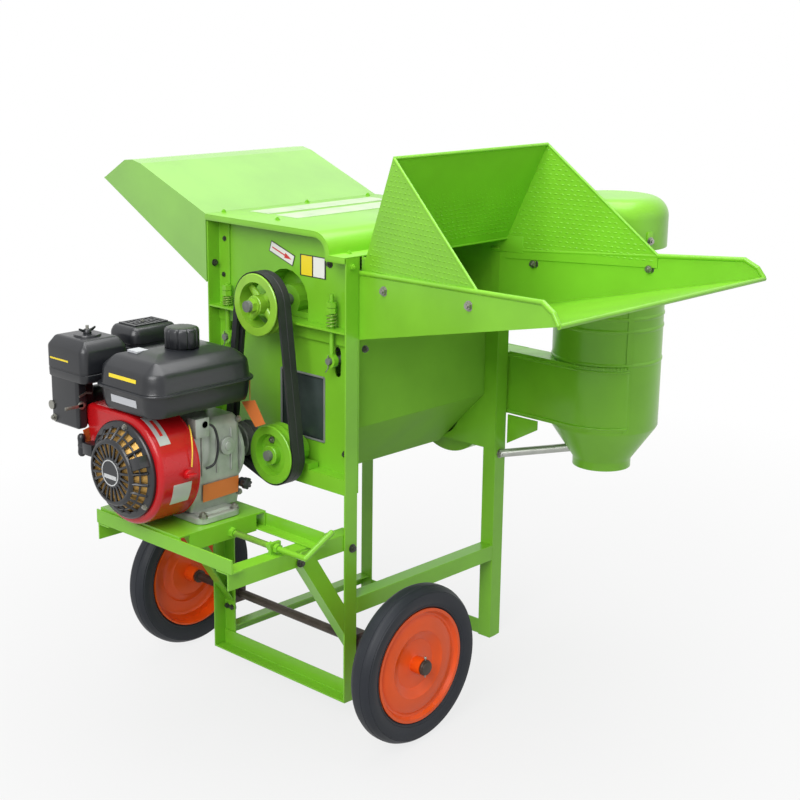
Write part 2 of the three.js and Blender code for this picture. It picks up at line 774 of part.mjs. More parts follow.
// Hopper: a leaning back and two triangular cheeks that lap inside the tray walls.
const cheekFrom = sheet + seatGap;
const cheekTo = cheekFrom + sheet;
const cheekFoot = trayWallRoot - hopperLap / 2;
const cheekOutline = [[hopperApexY + sheet, hopperApexZ], [hopperFrontY, hopperBaseZ - sheet * 2],
  [hopperFrontY, hopperBaseZ - hopperLap], [hopperBackBaseY + sheet, cheekFoot],
  [hopperBackBaseY + sheet, hopperBaseZ]];
const cheek = prismX(cheekOutline, -farX, farX)
  .intersect(prismZ(trayStrip(cheekFrom, cheekTo, hopperFrontY, trayLap), 0, hopperApexZ * 2));
const hopperBack = prismX(ribbon([[0 - sheet, hopperBaseZ], [hopperBackBaseY, hopperBaseZ],
  [hopperApexY, hopperApexZ]], -sheet), -farX, farX)
  .intersect(prismZ(trayPlan(cheekFrom, hopperFrontY, trayLap), 0, hopperApexZ * 2));
piece('hopper', join(hopperBack, cheek, acrossWidth(cheek)), lime());

// Drum: six peg bars between two end discs on a shaft that reaches the pulley.
const pulleyLeft = pulleyCentreX - pulleyWidth / 2;
const pulleyRight = pulleyCentreX + pulleyWidth / 2;
const shaftEndX = pulleyLeft - shaftRadius * 2;
const drumLeft = drumInset;
const drumRight = right - drumInset;
const drumDiscWall = sheet * 2;
const drumBars = [];
for (let i = 0; i < drumBarCount; i += 1) {
  const pegs = [];
  for (let k = 0; k < drumPegCount; k += 1) {
    const share = (k + (i % 2 ? 1 : 1 / 2)) / (drumPegCount + 1 / 2);
    const pegX = drumLeft + (drumRight - drumLeft) * share;
    pegs.push(disc('z', pegX, 0, pegRadius, drumCoreRadius, drumTipRadius, hexagon));
  }
  const bar = join(block(drumLeft, drumRight, -barWidth / 2, barWidth / 2,
    drumCoreRadius - barHeight, drumCoreRadius), ...pegs.map((peg) => peg.translate([0, 0, -barHeight / 2])));
  drumBars.push(bar.rotate([(360 / drumBarCount) * i, 0, 0]).translate([0, drumY, drumZ]));
}
piece('drum', join(
  disc('x', drumY, drumZ, shaftRadius, shaftEndX, right + shaftRadius),
  disc('x', drumY, drumZ, drumCoreRadius - sheet, drumLeft, drumLeft + drumDiscWall),
  disc('x', drumY, drumZ, drumCoreRadius - sheet, drumRight - drumDiscWall, drumRight),
  ...drumBars), cast());

// Bearings: pillow blocks, two for the drum in the panel pockets and one for the fan on the left rail.
function pillowBlock(centreX, centreY, centreZ, footZ, bore) {
  const half = bearingWidth / 2;
  const foot = bearingFoot / 2;
  return cut(join(
    disc('x', centreY, centreZ, bearingRadius, centreX - half, centreX + half),
    block(centreX - half, centreX + half, centreY - foot, centreY + foot, footZ, footZ + bearingFootHeight)),
  disc('x', centreY, centreZ, bore, -farX, farX));
}
const drumBearingX = panelFace + pocketDepth / 2;
const drumBearing = cut(
  pillowBlock(drumBearingX, drumY, drumZ, ledgeTop + seatGap, bearingBore),
  block(-farX, farX, 0, rear, 0, ledgeTop + seatGap));
piece('left_drum_bearing', drumBearing, cast());
piece('right_drum_bearing', acrossWidth(drumBearing), cast());
const fanBearingX = bodyRailX / 2 - sheet;
const fanBearing = cut(
  pillowBlock(fanBearingX, fanY, fanZ, railTop + seatGap, fanShaftRadius + seatGap * 2),
  block(-farX, farX, 0, rear, 0, railTop + seatGap),
  block(-seatGap * 2, farX, 0, rear, 0, rear * 2));
piece('fan_bearing', fanBearing, cast());

// Concave: a slotted cradle under the drum with two hanger bars.
const cradleRadius = concaveRadius + concaveWall;
const cradleStart = 270 - concaveSweep / 2;
const cradleEnd = 270 + concaveSweep / 2;
const cradleSteps = 14;
const cradle = prismX(ribbon([[frontRodY, hangerZ],
  ...arc(drumY, drumZ, cradleRadius, cradleStart, cradleEnd, cradleSteps), [rearRodY, hangerZ]], concaveWall),
concaveInset, right - concaveInset);
const hangerReach = -rodX + eyeWidth;
const hanger = (y) => rod([-hangerReach, y, hangerZ], [right + hangerReach, y, hangerZ], hangerRadius);
const grateSlots = [];
const slotPitch = (right - concaveInset * 2) / concaveSlotCount;
const slotLengthShare = 0.8;
for (let row = 0; row < concaveRowCount; row += 1) {
  const angle = cradleStart + (concaveSweep * (row + 1)) / (concaveRowCount + 1);
  for (let k = 0; k < concaveSlotCount; k += 1) {
    const start = concaveInset + slotPitch * (k + (1 - slotLengthShare) / 2);
    grateSlots.push(block(start, start + slotPitch * slotLengthShare, -concaveSlotWidth / 2,
      concaveSlotWidth / 2, concaveRadius - concaveWall, cradleRadius + concaveWall)
      .rotate([angle - 90, 0, 0]).translate([0, drumY, drumZ]));
  }
}
piece('concave', join(cut(cradle, ...grateSlots), hanger(frontRodY), hanger(rearRodY)), cast());

// Sprung rods: an eye round the hanger bar, a rod through the ledge, and a nut on a coil spring.
const springFoot = ledgeTop + seatGap;
const springSteps = 8;
const wireSides = 5;
function spring(name, x, y, top) {
  const bottom = springFoot + springWire / 2;
  const rise = top - springWire / 2 - bottom;
  const count = springCurls * springSteps;
  const centres = [];
  const rings = [];
  for (let i = 0; i <= count; i += 1) {
    const angle = (i / springSteps) * 2 * Math.PI;
    const climb = rise / (count * springRadius * ((2 * Math.PI) / springSteps));
    const centre = new THREE.Vector3(x + springRadius * Math.cos(angle), y + springRadius * Math.sin(angle),
      bottom + (rise * i) / count);
    centres.push(centre);
    const outward = new THREE.Vector3(Math.cos(angle), Math.sin(angle), 0);
    const along = new THREE.Vector3(-Math.sin(angle), Math.cos(angle), climb).normalize();
    const upward = along.clone().cross(outward).negate();
    const ring = [];
    for (let k = 0; k < wireSides; k += 1) {
      const turn = (k / wireSides) * 2 * Math.PI;
      const point = centre.clone()
        .addScaledVector(outward, (springWire / 2) * Math.cos(turn))
        .addScaledVector(upward, (springWire / 2) * Math.sin(turn));
      ring.push([point.x, point.y, point.z]);
    }
    rings.push(ring);
  }
  const apart = centres.flatMap((centre, i) => centres.slice(i + springSteps / 2)
    .map((other) => centre.distanceTo(other)));
  const leastGap = Math.min(...apart) - springWire;
  console.log(`${name}: least gap to itself ${leastGap.toFixed(2)} mm`);
  piece(name, loft(rings), steel());
}
function springRod(name, x, y, springTop, top) {
  const nutFoot = springTop + seatGap;
  piece(name, cut(join(
    rod([x, y, hangerZ + hangerRadius + sheet], [x, y, top], rodRadius, thin),
    disc('x', y, hangerZ, eyeRadius, x - eyeWidth / 2, x + eyeWidth / 2, coarse),
    disc('z', x, y, rodNutRadius, nutFoot, nutFoot + rodNutHeight, hexagon)),
  disc('x', y, hangerZ, hangerRadius + seatGap * 2, x - eyeWidth, x + eyeWidth, coarse)), lime());
}
for (const [side, x] of [['left', rodX], ['right', right - rodX]]) {
  spring(`front_${side}_spring`, x, frontRodY, springTopFront);
  springRod(`front_${side}_spring_rod`, x, frontRodY, springTopFront, rodTopFront);
  spring(`rear_${side}_spring`, x, rearRodY, springTopRear);
  springRod(`rear_${side}_spring_rod`, x, rearRodY, springTopRear, rodTopRear);
}

// Pulleys: two V grooves on a rim, with a web and a hub.
const grooveXs = [pulleyCentreX - grooveSpacing / 2, pulleyCentreX + grooveSpacing / 2];
function groovedRim(radius) {
  return grooveXs.flatMap((x) => [[radius, x - grooveHalf], [radius - grooveDepth, x - grooveFloorHalf],
    [radius - grooveDepth, x + grooveFloorHalf], [radius, x + grooveHalf]]);
}
function pulleyWithWeb(y, z, radius, bore, hubX) {
  const rimInside = radius - grooveDepth - pulleyRimWall;
  const webLeft = pulleyCentreX - pulleyWebWidth / 2;
  const webRight = pulleyCentreX + pulleyWebWidth / 2;
  return turnedX([[bore, hubX], [pulleyHubRadius, hubX], [pulleyHubRadius, webLeft], [rimInside, webLeft],
    [rimInside, pulleyLeft], [radius, pulleyLeft], ...groovedRim(radius), [radius, pulleyRight],
    [rimInside, pulleyRight], [rimInside, webRight], [pulleyHubRadius, webRight],
    [pulleyHubRadius, pulleyRight], [bore, pulleyRight], [bore, hubX]], y, z, fine);
}
const spokeCount = 4;
const windowHalfAngle = 31;
const spokeWindows = [];
const windowInner = pulleyHubRadius + sheet * 2;
const windowOuter = drumPulleyRadius - grooveDepth - pulleyRimWall - sheet;
for (let i = 0; i < spokeCount; i += 1) {
  const middle = (360 / spokeCount) * i;
  spokeWindows.push(prismX([
    ...arc(drumY, drumZ, windowInner, middle + windowHalfAngle, middle - windowHalfAngle, roundSteps),
    ...arc(drumY, drumZ, windowOuter, middle - windowHalfAngle, middle + windowHalfAngle, roundSteps)],
  pulleyLeft, pulleyRight));
}
piece('drum_pulley', cut(
  pulleyWithWeb(drumY, drumZ, drumPulleyRadius, shaftRadius + seatGap, pulleyLeft - sheet),
  ...spokeWindows), lime());
const fanHoleCount = 3;
const fanHoles = Array.from({ length: fanHoleCount }, (_, i) => {
  const angle = (i / fanHoleCount) * 2 * Math.PI;
  const reach = pulleyHubRadius + pulleyHoleRadius / 2 + sheet * 2;
  return disc('x', fanY + reach * Math.sin(angle), fanZ + reach * Math.cos(angle), pulleyHoleRadius / 2,
    pulleyLeft, pulleyRight, coarse);
});
piece('fan_pulley', cut(
  pulleyWithWeb(fanY, fanZ, fanPulleyRadius, fanShaftRadius + seatGap, pulleyLeft - sheet),
  ...fanHoles), lime());

// Belt: a joined pair of V belts round the drum, fan and engine pulleys.
const beltCircles = [[fanY, fanZ, fanPulleyRadius], [crankY, crankZ, enginePulleyRadius],
  [drumY, drumZ, drumPulleyRadius]];
const tangentAngles = beltCircles.map(([y, z, radius], i) => {
  const [nextY, nextZ, nextRadius] = beltCircles[(i + 1) % beltCircles.length];
  const reach = Math.hypot(nextY - y, nextZ - z);
  return Math.atan2(nextZ - z, nextY - y) - Math.acos((radius - nextRadius) / reach);
});
const beltStep = THREE.MathUtils.degToRad(12);
const beltPath = beltCircles.flatMap(([y, z, radius], i) => {
  const from = tangentAngles[(i + beltCircles.length - 1) % beltCircles.length];
  let to = tangentAngles[i];
  while (to < from) to += 2 * Math.PI;
  const steps = Math.max(Math.round((to - from) / beltStep), 1);
  return Array.from({ length: steps + 1 }, (_, k) => {
    const angle = from + ((to - from) * k) / steps;
    return { y, z, radius, ny: Math.cos(angle), nz: Math.sin(angle) };
  });
});
const ribHalf = grooveSpacing / 2;
const notchHalf = runGap;
const beltSection = [[-ribHalf - beltHalfTop, beltAbove], [ribHalf + beltHalfTop, beltAbove],
  [ribHalf + beltHalfFoot, -beltBelow], [ribHalf - beltHalfFoot, -beltBelow], [notchHalf, beltBridge],
  [-notchHalf, beltBridge], [-ribHalf + beltHalfFoot, -beltBelow], [-ribHalf - beltHalfFoot, -beltBelow]];
const beltPositions = beltPath.flatMap(({ y, z, radius, ny, nz }) => beltSection.flatMap(([x, n]) => [
  pulleyCentreX + x, y + ny * (radius + n), z + nz * (radius + n)]));
const beltIndex = [];
for (let i = 0; i < beltPath.length; i += 1) {
  const next = (i + 1) % beltPath.length;
  for (let k = 0; k < beltSection.length; k += 1) {
    const side = (k + 1) % beltSection.length;
    const a = i * beltSection.length;
    const b = next * beltSection.length;
    beltIndex.push(a + k, a + side, b + k, b + k, a + side, b + side);
  }
}
const beltGeometry = new THREE.BufferGeometry();
beltGeometry.setAttribute('position', new THREE.BufferAttribute(new Float32Array(beltPositions), 3));
beltGeometry.setIndex(beltIndex);
piece('drive_belt', toSolid(beltGeometry), rubber());

// Fan: a paddle impeller on a shaft from the fan pulley to the outer bearing boss.
const scrollRight = scrollX + scrollWidth;
const fanShaftRight = scrollRight + fanShaftRadius * 2;
const bladeLeft = scrollX + (scrollWidth - fanBladeWidth) / 2;
const blades = [];
for (let i = 0; i < fanBladeCount; i += 1) {
  blades.push(block(bladeLeft, bladeLeft + fanBladeWidth, -fanBladeWall / 2, fanBladeWall / 2,
    fanHubRadius - sheet, fanBladeRadius)
    .rotate([(360 / fanBladeCount) * i, 0, 0]).translate([0, fanY, fanZ]));
}
piece('fan_impeller', join(
  disc('x', fanY, fanZ, fanShaftRadius, pulleyLeft - fanShaftRadius, fanShaftRight),
  disc('x', fanY, fanZ, fanHubRadius, bladeLeft, bladeLeft + fanBladeWidth), ...blades), cast());

// Fan housing: a scroll with a suction collar on the body side and a bearing boss on the outer side.
const scrollSteps = 18;
const scrollPower = 1.8;
function scrollOutline(offset) {
  const points = [];
  for (let i = 0; i <= scrollSteps; i += 1) {
    const share = i / scrollSteps;
    const radius = scrollSmall + (scrollLarge - scrollSmall) * share ** scrollPower - offset;
    const angle = THREE.MathUtils.degToRad(180 + 270 * share);
    points.push([fanY + radius * Math.cos(angle), fanZ + radius * Math.sin(angle)]);
  }
  return points;
}
const mouthTop = fanZ + scrollLarge;
function scrollBody(offset, mouthY) {
  return [...scrollOutline(offset), [mouthY, mouthTop - offset], [mouthY, scrollMouthBottom + offset],
    [fanY - scrollSmall + offset, scrollMouthBottom + offset]];
}
piece('fan_housing', cut(join(
  prismX(scrollBody(0, 0), scrollX, scrollRight),
  disc('x', fanY, fanZ, inletRadius + sheet, right, scrollX + sheet),
  disc('x', fanY, fanZ, bearingRadius, scrollRight - sheet, scrollRight + bearingWidth / 2)),
prismX(scrollBody(sheet, -overrun), scrollX + sheet, scrollRight - sheet),
disc('x', fanY, fanZ, inletRadius, right - overrun, scrollX + overrun),
disc('x', fanY, fanZ, fanShaftRadius + seatGap * 2, scrollX, scrollRight * 2)), lime());

// Cyclone: a cylinder with beads, a cone and a spigot, entered by a duct that wraps round it.
const beadShares = [0.714, 0.638, 0.431];
const beadHalf = 3;
const beadOut = 1.6;
const beads = beadShares.map((share) => cycloneBottom + (cycloneTop - cycloneBottom) * share)
  .flatMap((z) => [[cycloneRadius, z + beadHalf], [cycloneRadius + beadOut, z], [cycloneRadius, z - beadHalf]]);
const cycloneShell = turnedZ([[pipeRadius, pipeTop], [pipeRadius, cycloneTop], [cycloneRadius, cycloneTop],
  ...beads, [cycloneRadius, cycloneBottom], [coneRadius, coneBottom], [coneRadius, spigotBottom],
  [coneRadius - sheet, spigotBottom], [coneRadius - sheet, coneBottom + sheet / 2],
  [cycloneRadius - sheet, cycloneBottom + sheet / 2], [cycloneRadius - sheet, cycloneTop - sheet],
  [pipeRadius - sheet, cycloneTop - sheet], [pipeRadius - sheet, pipeTop], [pipeRadius, pipeTop]],
cycloneX, cycloneY, fine);
const wrapRadius = cycloneX - scrollX + runGap;
const wrapAngle = 239;
const ductJoinAngle = 180 - THREE.MathUtils.radToDeg(Math.acos((cycloneX - scrollRight) / cycloneRadius));
const innerWrap = cycloneRadius - sheet / 2;
const ductPlan = [[scrollX, -seatGap], ...arc(cycloneX, cycloneY, wrapRadius, 180, wrapAngle, roundSteps),
  ...arc(cycloneX, cycloneY, innerWrap, wrapAngle, ductJoinAngle, coarse), [scrollRight, -seatGap]];
const ductBottom = scrollMouthBottom;
const ductVoid = block(scrollX + sheet, scrollRight - sheet, cycloneY, overrun,
  ductBottom + sheet, mouthTop - sheet);
const entered = cut(join(cycloneShell, prismZ(ductPlan, ductBottom, mouthTop)), ductVoid);

// Its support bar runs from the front right leg and is welded to the cone.
const barStandoff = supportBarRadius + seatGap;
const halfSheet = sheet / 2;
const insideCone = turnedZ([[0, cycloneBottom], [cycloneRadius - halfSheet, cycloneBottom],
  [coneRadius - halfSheet, coneBottom], [coneRadius - halfSheet, spigotBottom], [0, spigotBottom]],
cycloneX, cycloneY, fine);
const barLegX = right + legFlange - supportBarRadius * 2;
const barRiseShare = 0.35;
const barEndZ = supportBarZ + (cycloneBottom - supportBarZ) * barRiseShare;
const supportBar = cut(
  rod([barLegX, -barStandoff + supportBarRadius, supportBarZ], [cycloneX, cycloneY, barEndZ], supportBarRadius),
  insideCone, block(0, right * 2, -seatGap, rear, 0, rear * 2));
piece('cyclone_body', join(entered, supportBar), lime());

// Elbow hood: a round cowl on the outlet pipe with a spout towards the straw side.
const elbowX = cycloneX + elbowShift;
function cowl(offset, bottom) {
  return [[0, bottom], [elbowRadius - offset, bottom],
    ...arc(elbowRadius - elbowRound, elbowTop - elbowRound, elbowRound - offset, 0, 90, roundSteps),
    [0, elbowTop - offset]];
}
const spoutTop = elbowTop - elbowRound / 2;
const spoutFoot = spoutTop - elbowMouthHeight;
const spoutLeft = elbowX - elbowMouthWidth / 2;
const spoutRight = elbowX + elbowMouthWidth / 2;
const spoutEnd = cycloneY + elbowRadius + elbowRound / 2;
// The hole's flats face the pipe's corners, so the cowl swivels clear of it.
const pipeHole = disc('z', 0, 0, (pipeRadius + seatGap) / Math.cos(Math.PI / fine), elbowBottom - sheet,
  elbowBottom + sheet * 2, fine).rotate([0, 0, 180 / fine]).translate([cycloneX, cycloneY, 0]);
piece('elbow_hood', cut(join(
  turnedZ(cowl(0, elbowBottom), elbowX, cycloneY, fine),
  block(spoutLeft, spoutRight, cycloneY, spoutEnd, spoutFoot, spoutTop)),
turnedZ(cowl(sheet, elbowBottom + sheet), elbowX, cycloneY, fine),
pipeHole,
block(spoutLeft + sheet, spoutRight - sheet, cycloneY, spoutEnd + overrun,
  spoutFoot + sheet, spoutTop - sheet)), lime());

// Engine block: a cast base, crankcase and finned cylinder with one bore for the crankshaft.
const crankRadius = 11;
const blockFootZ = baseTop + seatGap;
const blockBaseTop = blockFootZ + engineBaseHeight;
const headFront = 70;
const headRear = 150;
const finCount = 5;
const finWall = 3;
const finReach = 7;
const headTop = mufflerBottom - seatGap;
const underTank = tankBottom - seatGap;
const behindTank = tankRearY + tankInset;
const headBottom = crankZ - headFront / 3;
const headLeft = crankcaseLeft + finReach + sheet;
const headRight = crankcaseRight - finReach * 2;
const fins = [];
for (let i = 0; i < finCount; i += 1) {
  const y = crankY + headFront + ((headRear - headFront) * i) / finCount;
  fins.push(block(headLeft - finReach, headRight + finReach, y, y + finWall, headBottom, underTank - finReach));
}
const caseSteps = 20;
piece('engine_block', cut(join(
  block(engineBaseLeft, engineBaseRight, crankY - engineBaseHalfDepth, crankY + engineBaseHalfDepth,
    blockFootZ, blockBaseTop),
  block(engineBaseLeft + finReach, crankcaseRight - finReach, crankY - crankcaseRadius + finReach,
    crankY + crankcaseRadius + finReach, blockBaseTop - weld, crankZ),
  disc('x', crankY, crankZ, crankcaseRadius, crankcaseLeft, crankcaseRight, caseSteps),
  disc('x', crankY, crankZ, crankcaseRadius / 2, crankcaseRight - weld, crankcaseRight + finWall, caseSteps),
  block(headLeft, headRight, crankY, crankY + headRear, headBottom + finReach, underTank),
  block(headLeft, headRight, behindTank, crankY + headRear, crankZ, headTop), ...fins),
disc('x', crankY, crankZ, crankRadius + seatGap * 2, -farX, farX)), cast());

// Crankshaft with its flywheel and the small pulley.
const flywheelRadius = 62;
const flywheelLeft = shroudLeft + finReach;
const flywheelRight = flywheelLeft + finReach * 2;
piece('crankshaft', join(
  disc('x', crankY, crankZ, crankRadius, flywheelLeft, pulleyRight + sheet),
  disc('x', crankY, crankZ, flywheelRadius, flywheelLeft, flywheelRight),
  turnedX([[0, pulleyLeft], [enginePulleyRadius, pulleyLeft], ...groovedRim(enginePulleyRadius),
    [enginePulleyRadius, pulleyRight], [0, pulleyRight]], crankY, crankZ, fine)), cast());

// Blower shroud: a shell round the flywheel, open towards the crankcase.
const shroudBack = crankcaseLeft - seatGap;
const shroudCornerY = crankY + shroudRadius + tankInset;
const shroudShoulderZ = tankBottom - seatGap - sheet;
const shroudArcAngle = 95;
function shroudOutline(offset) {
  return [...arc(crankY, crankZ, shroudRadius - offset, shroudArcAngle, 360, plain),
    [shroudCornerY - offset, shroudShoulderZ - tankInset],
    [shroudCornerY - tankInset, shroudShoulderZ - offset]];
}
const recoilMouth = recoilRadius - tankInset;
piece('blower_shroud', cut(
  prismX(shroudOutline(0), shroudLeft, shroudBack),
  prismX(shroudOutline(sheet), shroudLeft + sheet, 0),
  disc('x', crankY, crankZ, recoilMouth, shroudLeft - overrun, 0, fine)), red());

// Recoil cover: a slotted dish on the shroud.
const recoilBack = shroudLeft - seatGap;
const faceShare = 0.62;
const faceRadius = recoilRadius * faceShare;
const coneBackX = recoilLeft + finReach * 2;
const recoilWall = 2.5;
const ropeRadius = 2.2;
const ropeZ = crankZ + crankRadius * 2 + ropeRadius;
const ropeX = recoilLeft + finReach * 2 + ropeRadius;
const faceSlots = [];
const faceSlotCount = 15;
const slotGroup = 3;
const outerSlotTurn = 360 / faceSlotCount / 2;
const faceSlotHalf = 2.2;
for (let i = 0; i < faceSlotCount; i += 1) {
  const angle = (360 / faceSlotCount) * i;
  faceSlots.push(block(recoilLeft - overrun, recoilLeft + overrun, -faceSlotHalf, faceSlotHalf,
    faceRadius / 2, faceRadius - finWall).rotate([angle, 0, 0]).translate([0, crankY, crankZ]));
  if (i % slotGroup) {
    faceSlots.push(block(coneBackX - finReach, coneBackX + finReach, -faceSlotHalf * 2, faceSlotHalf * 2,
      faceRadius + finReach, recoilRadius - recoilWall).rotate([angle + outerSlotTurn, 0, 0])
      .translate([-overrun, crankY, crankZ]));
  }
}
piece('recoil_cover', cut(
  turnedX([[0, recoilLeft], [faceRadius, recoilLeft], [recoilRadius, coneBackX], [recoilRadius, recoilBack],
    [recoilRadius - recoilWall, recoilBack], [recoilRadius - recoilWall, coneBackX + recoilWall],
    [faceRadius, recoilLeft + recoilWall], [0, recoilLeft + recoilWall]], crankY, crankZ, fine),
  rod([ropeX, crankY, ropeZ], [ropeX, crankY + shroudRadius, ropeZ], ropeRadius + runGap, coarse),
  ...faceSlots), black());

// Starter handle: a T grip on a rope that runs back into the recoil cover.
const gripFrontY = crankY + recoilRadius + sheet;
const gripDepth = 14;
const gripRadius = 7;
const gripHalf = 20;
const ropeInnerY = crankY - recoilRadius / 2;
piece('starter_handle', join(
  rod([ropeX, ropeInnerY, ropeZ], [ropeX, gripFrontY + gripDepth, ropeZ], ropeRadius, thin),
  rod([ropeX, gripFrontY, ropeZ], [ropeX, gripFrontY + gripDepth, ropeZ], gripRadius, coarse),
  rod([ropeX, gripFrontY + gripDepth, ropeZ - gripHalf],
    [ropeX, gripFrontY + gripDepth, ropeZ + gripHalf], gripRadius, coarse)), black());

// Fuel tank: a pressed shell with a seam and a filler neck under the cap.
const tankSeam = tankBottom + (tankTop - tankBottom) * tankSeamShare;
const seamHalf = 3;
const seamOut = 5;
function tankShell(offset) {
  const ring = (grow, corner, z) => roundedRing(tankLeft - grow + offset, tankRight + grow - offset,
    tankFrontY - grow + offset, tankRearY + grow - offset, corner + grow - offset, z);
  return [
    ring(-tankInset / 2, tankCorner, tankBottom + offset), ring(-seamOut, tankCorner, tankSeam - seamHalf),
    ...(offset ? [] : [ring(0, tankCorner, tankSeam - seamHalf), ring(0, tankCorner, tankSeam + seamHalf)]),
    ring(-seamOut, tankCorner, tankSeam + seamHalf), ring(-seamOut * 2, tankCorner, tankTop - tankInset),
    ring(-tankInset * 2, tankCorner * 2, tankTop - offset)];
}
const neckRadius = fuelCapRadius - finWall * 2;
piece('fuel_tank', cut(loft(tankShell(0)), loft(tankShell(sheet)),
  disc('z', fuelCapX, fuelCapY, neckRadius, tankSeam, tankTop + overrun)), black());
const capFoot = tankTop + seatGap;
const capLobes = 10;
const lobeSteps = 4;
const capPoints = [];
for (let i = 0; i < capLobes * lobeSteps; i += 1) {
  const angle = (i / (capLobes * lobeSteps)) * 2 * Math.PI;
  const radius = fuelCapRadius - (i % lobeSteps === 0 ? sheet : 0);
  capPoints.push([fuelCapX + radius * Math.cos(angle), fuelCapY + radius * Math.sin(angle)]);
}
piece('fuel_cap', join(
  prismZ(capPoints, capFoot, capFoot + fuelCapHeight),
  disc('z', fuelCapX, fuelCapY, neckRadius - seatGap * 2, tankTop - finReach, capFoot + sheet)), black());

// Air cleaner: a box with a bevelled lid over the carburettor cover.
const cleanerCorner = 14;
const cleanerBevel = 14;
const cleanerStud = [(cleanerLeft + cleanerRight) / 2, (cleanerFrontY + cleanerRearY) / 2];
const carbLeft = cleanerLeft + sheet;
const carbShallow = shroudLeft - seatGap;
const carbRear = cleanerRearY - sheet;
const carbRight = (cleanerLeft + cleanerRight) / 2;
const carbDeepFront = shroudCornerY + seatGap;
const carbBoreY = (carbDeepFront + carbRear) / 2;
const carbBoreZ = (carbBottom + cleanerBottom) / 2;
const carbPipeEnd = headLeft - finReach - seatGap;
function cleanerRing(grow, z) {
  return roundedRing(cleanerLeft - grow, cleanerRight + grow, cleanerFrontY - grow, cleanerRearY + grow,
    cleanerCorner + grow, z);
}
const cleanerVoid = loft([cleanerRing(-finWall, cleanerBottom + finWall),
  cleanerRing(-finWall, cleanerTop - cleanerBevel), cleanerRing(-cleanerBevel, cleanerTop - finWall)]);
const studRadius = 3;
const lidTop = cleanerTop + finWall;
piece('air_cleaner', join(cut(join(
  loft([cleanerRing(0, cleanerBottom), cleanerRing(0, cleanerTop - cleanerBevel),
    cleanerRing(-cleanerBevel + sheet, cleanerTop)]),
  block(carbLeft, carbShallow, carbFront, carbRear, carbBottom, cleanerBottom + weld),
  block(carbLeft, carbRight, carbDeepFront, carbRear, carbBottom, cleanerBottom + weld),
  disc('x', carbBoreY, carbBoreZ, carbRadius, carbRight - weld, carbPipeEnd)), cleanerVoid,
block(carbLeft + finWall, carbRight - finWall, carbDeepFront + finWall, carbRear - finWall,
  carbBottom - overrun, cleanerBottom + overrun)),
disc('z', ...cleanerStud, crankRadius * 2, cleanerTop - weld, lidTop),
disc('z', ...cleanerStud, studRadius, lidTop - weld, lidTop + finReach * 2, thin)), black());
const wingReach = 17;
const nutFootZ = lidTop + seatGap;
piece('wing_nut', cut(join(
  disc('z', ...cleanerStud, finReach, nutFootZ, nutFootZ + finReach, hexagon),
  block(cleanerStud[0] - wingReach, cleanerStud[0] + wingReach, cleanerStud[1] - sheet, cleanerStud[1] + sheet,
    nutFootZ + finWall, nutFootZ + finReach + finWall)),
disc('z', ...cleanerStud, studRadius + seatGap, nutFootZ - weld, nutFootZ + finReach * 4)), black());

// Throttle lever on the carburettor cover and the stop switch on the shroud.
const leverX = carbLeft + finReach + seatGap;
const leverZ = carbBottom + finReach * 6;
const leverLength = 34;
piece('throttle_lever', join(
  disc('y', leverX, leverZ, finReach, carbFront - seatGap - finWall, carbFront - seatGap, coarse),
  block(leverX - leverLength, leverX, carbFront - seatGap - finWall, carbFront - seatGap - finWall / 2,
    leverZ - finWall, leverZ + finWall)), steel());
const switchX = (shroudLeft + shroudBack) / 2 + finReach * 2;
const switchFace = crankY - shroudRadius - seatGap;
const switchRadius = 9;
piece('stop_switch', join(
  disc('y', switchX, crankZ, switchRadius, switchFace - finReach, switchFace, coarse),
  block(switchX - switchRadius, switchX + switchRadius, switchFace - finReach * 2, switchFace - finReach + weld,
    crankZ - finWall, crankZ + finWall)), red());

// Muffler in a slotted guard on the cylinder head.
const mufflerCorner = 16;
const mufflerRing = (grow, z) => roundedRing(mufflerLeft - grow, mufflerRight + grow, mufflerFrontY - grow,
  mufflerRearY + grow, mufflerCorner + grow, z);
const guardSlots = [];
const guardSlotCount = 6;
for (let i = 0; i < guardSlotCount; i += 1) {
  const x = mufflerLeft + mufflerCorner
    + ((mufflerRight - mufflerLeft - mufflerCorner * 2) * (i + 1 / 2)) / guardSlotCount;
  guardSlots.push(block(x - finWall, x + finWall, mufflerFrontY + mufflerCorner, mufflerRearY - mufflerCorner,
    mufflerTop - overrun, mufflerTop + overrun));
}
piece('muffler', cut(
  loft([mufflerRing(-finWall, mufflerBottom), mufflerRing(0, mufflerBottom + finReach),
    mufflerRing(0, mufflerTop - finReach), mufflerRing(-finReach, mufflerTop)]),
  loft([mufflerRing(-finWall * 2, mufflerBottom + finWall), mufflerRing(-finWall * 2, mufflerTop - finReach),
    mufflerRing(-finReach - finWall, mufflerTop - finWall)]),
  ...guardSlots), black());

// The origin lies under the middle of the whole machine, at the bottom of the wheels.
const whole = new THREE.Box3().setFromObject(machine);
const middle = whole.getCenter(new THREE.Vector3());
machine.position.set(-middle.x, -middle.y, -whole.min.z);
machine.updateMatrixWorld(true);

export default machine;
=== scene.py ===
import bmesh
import bpy
from math import atan2, acos, cos, hypot, pi, radians, sin
from mathutils import Matrix, Vector


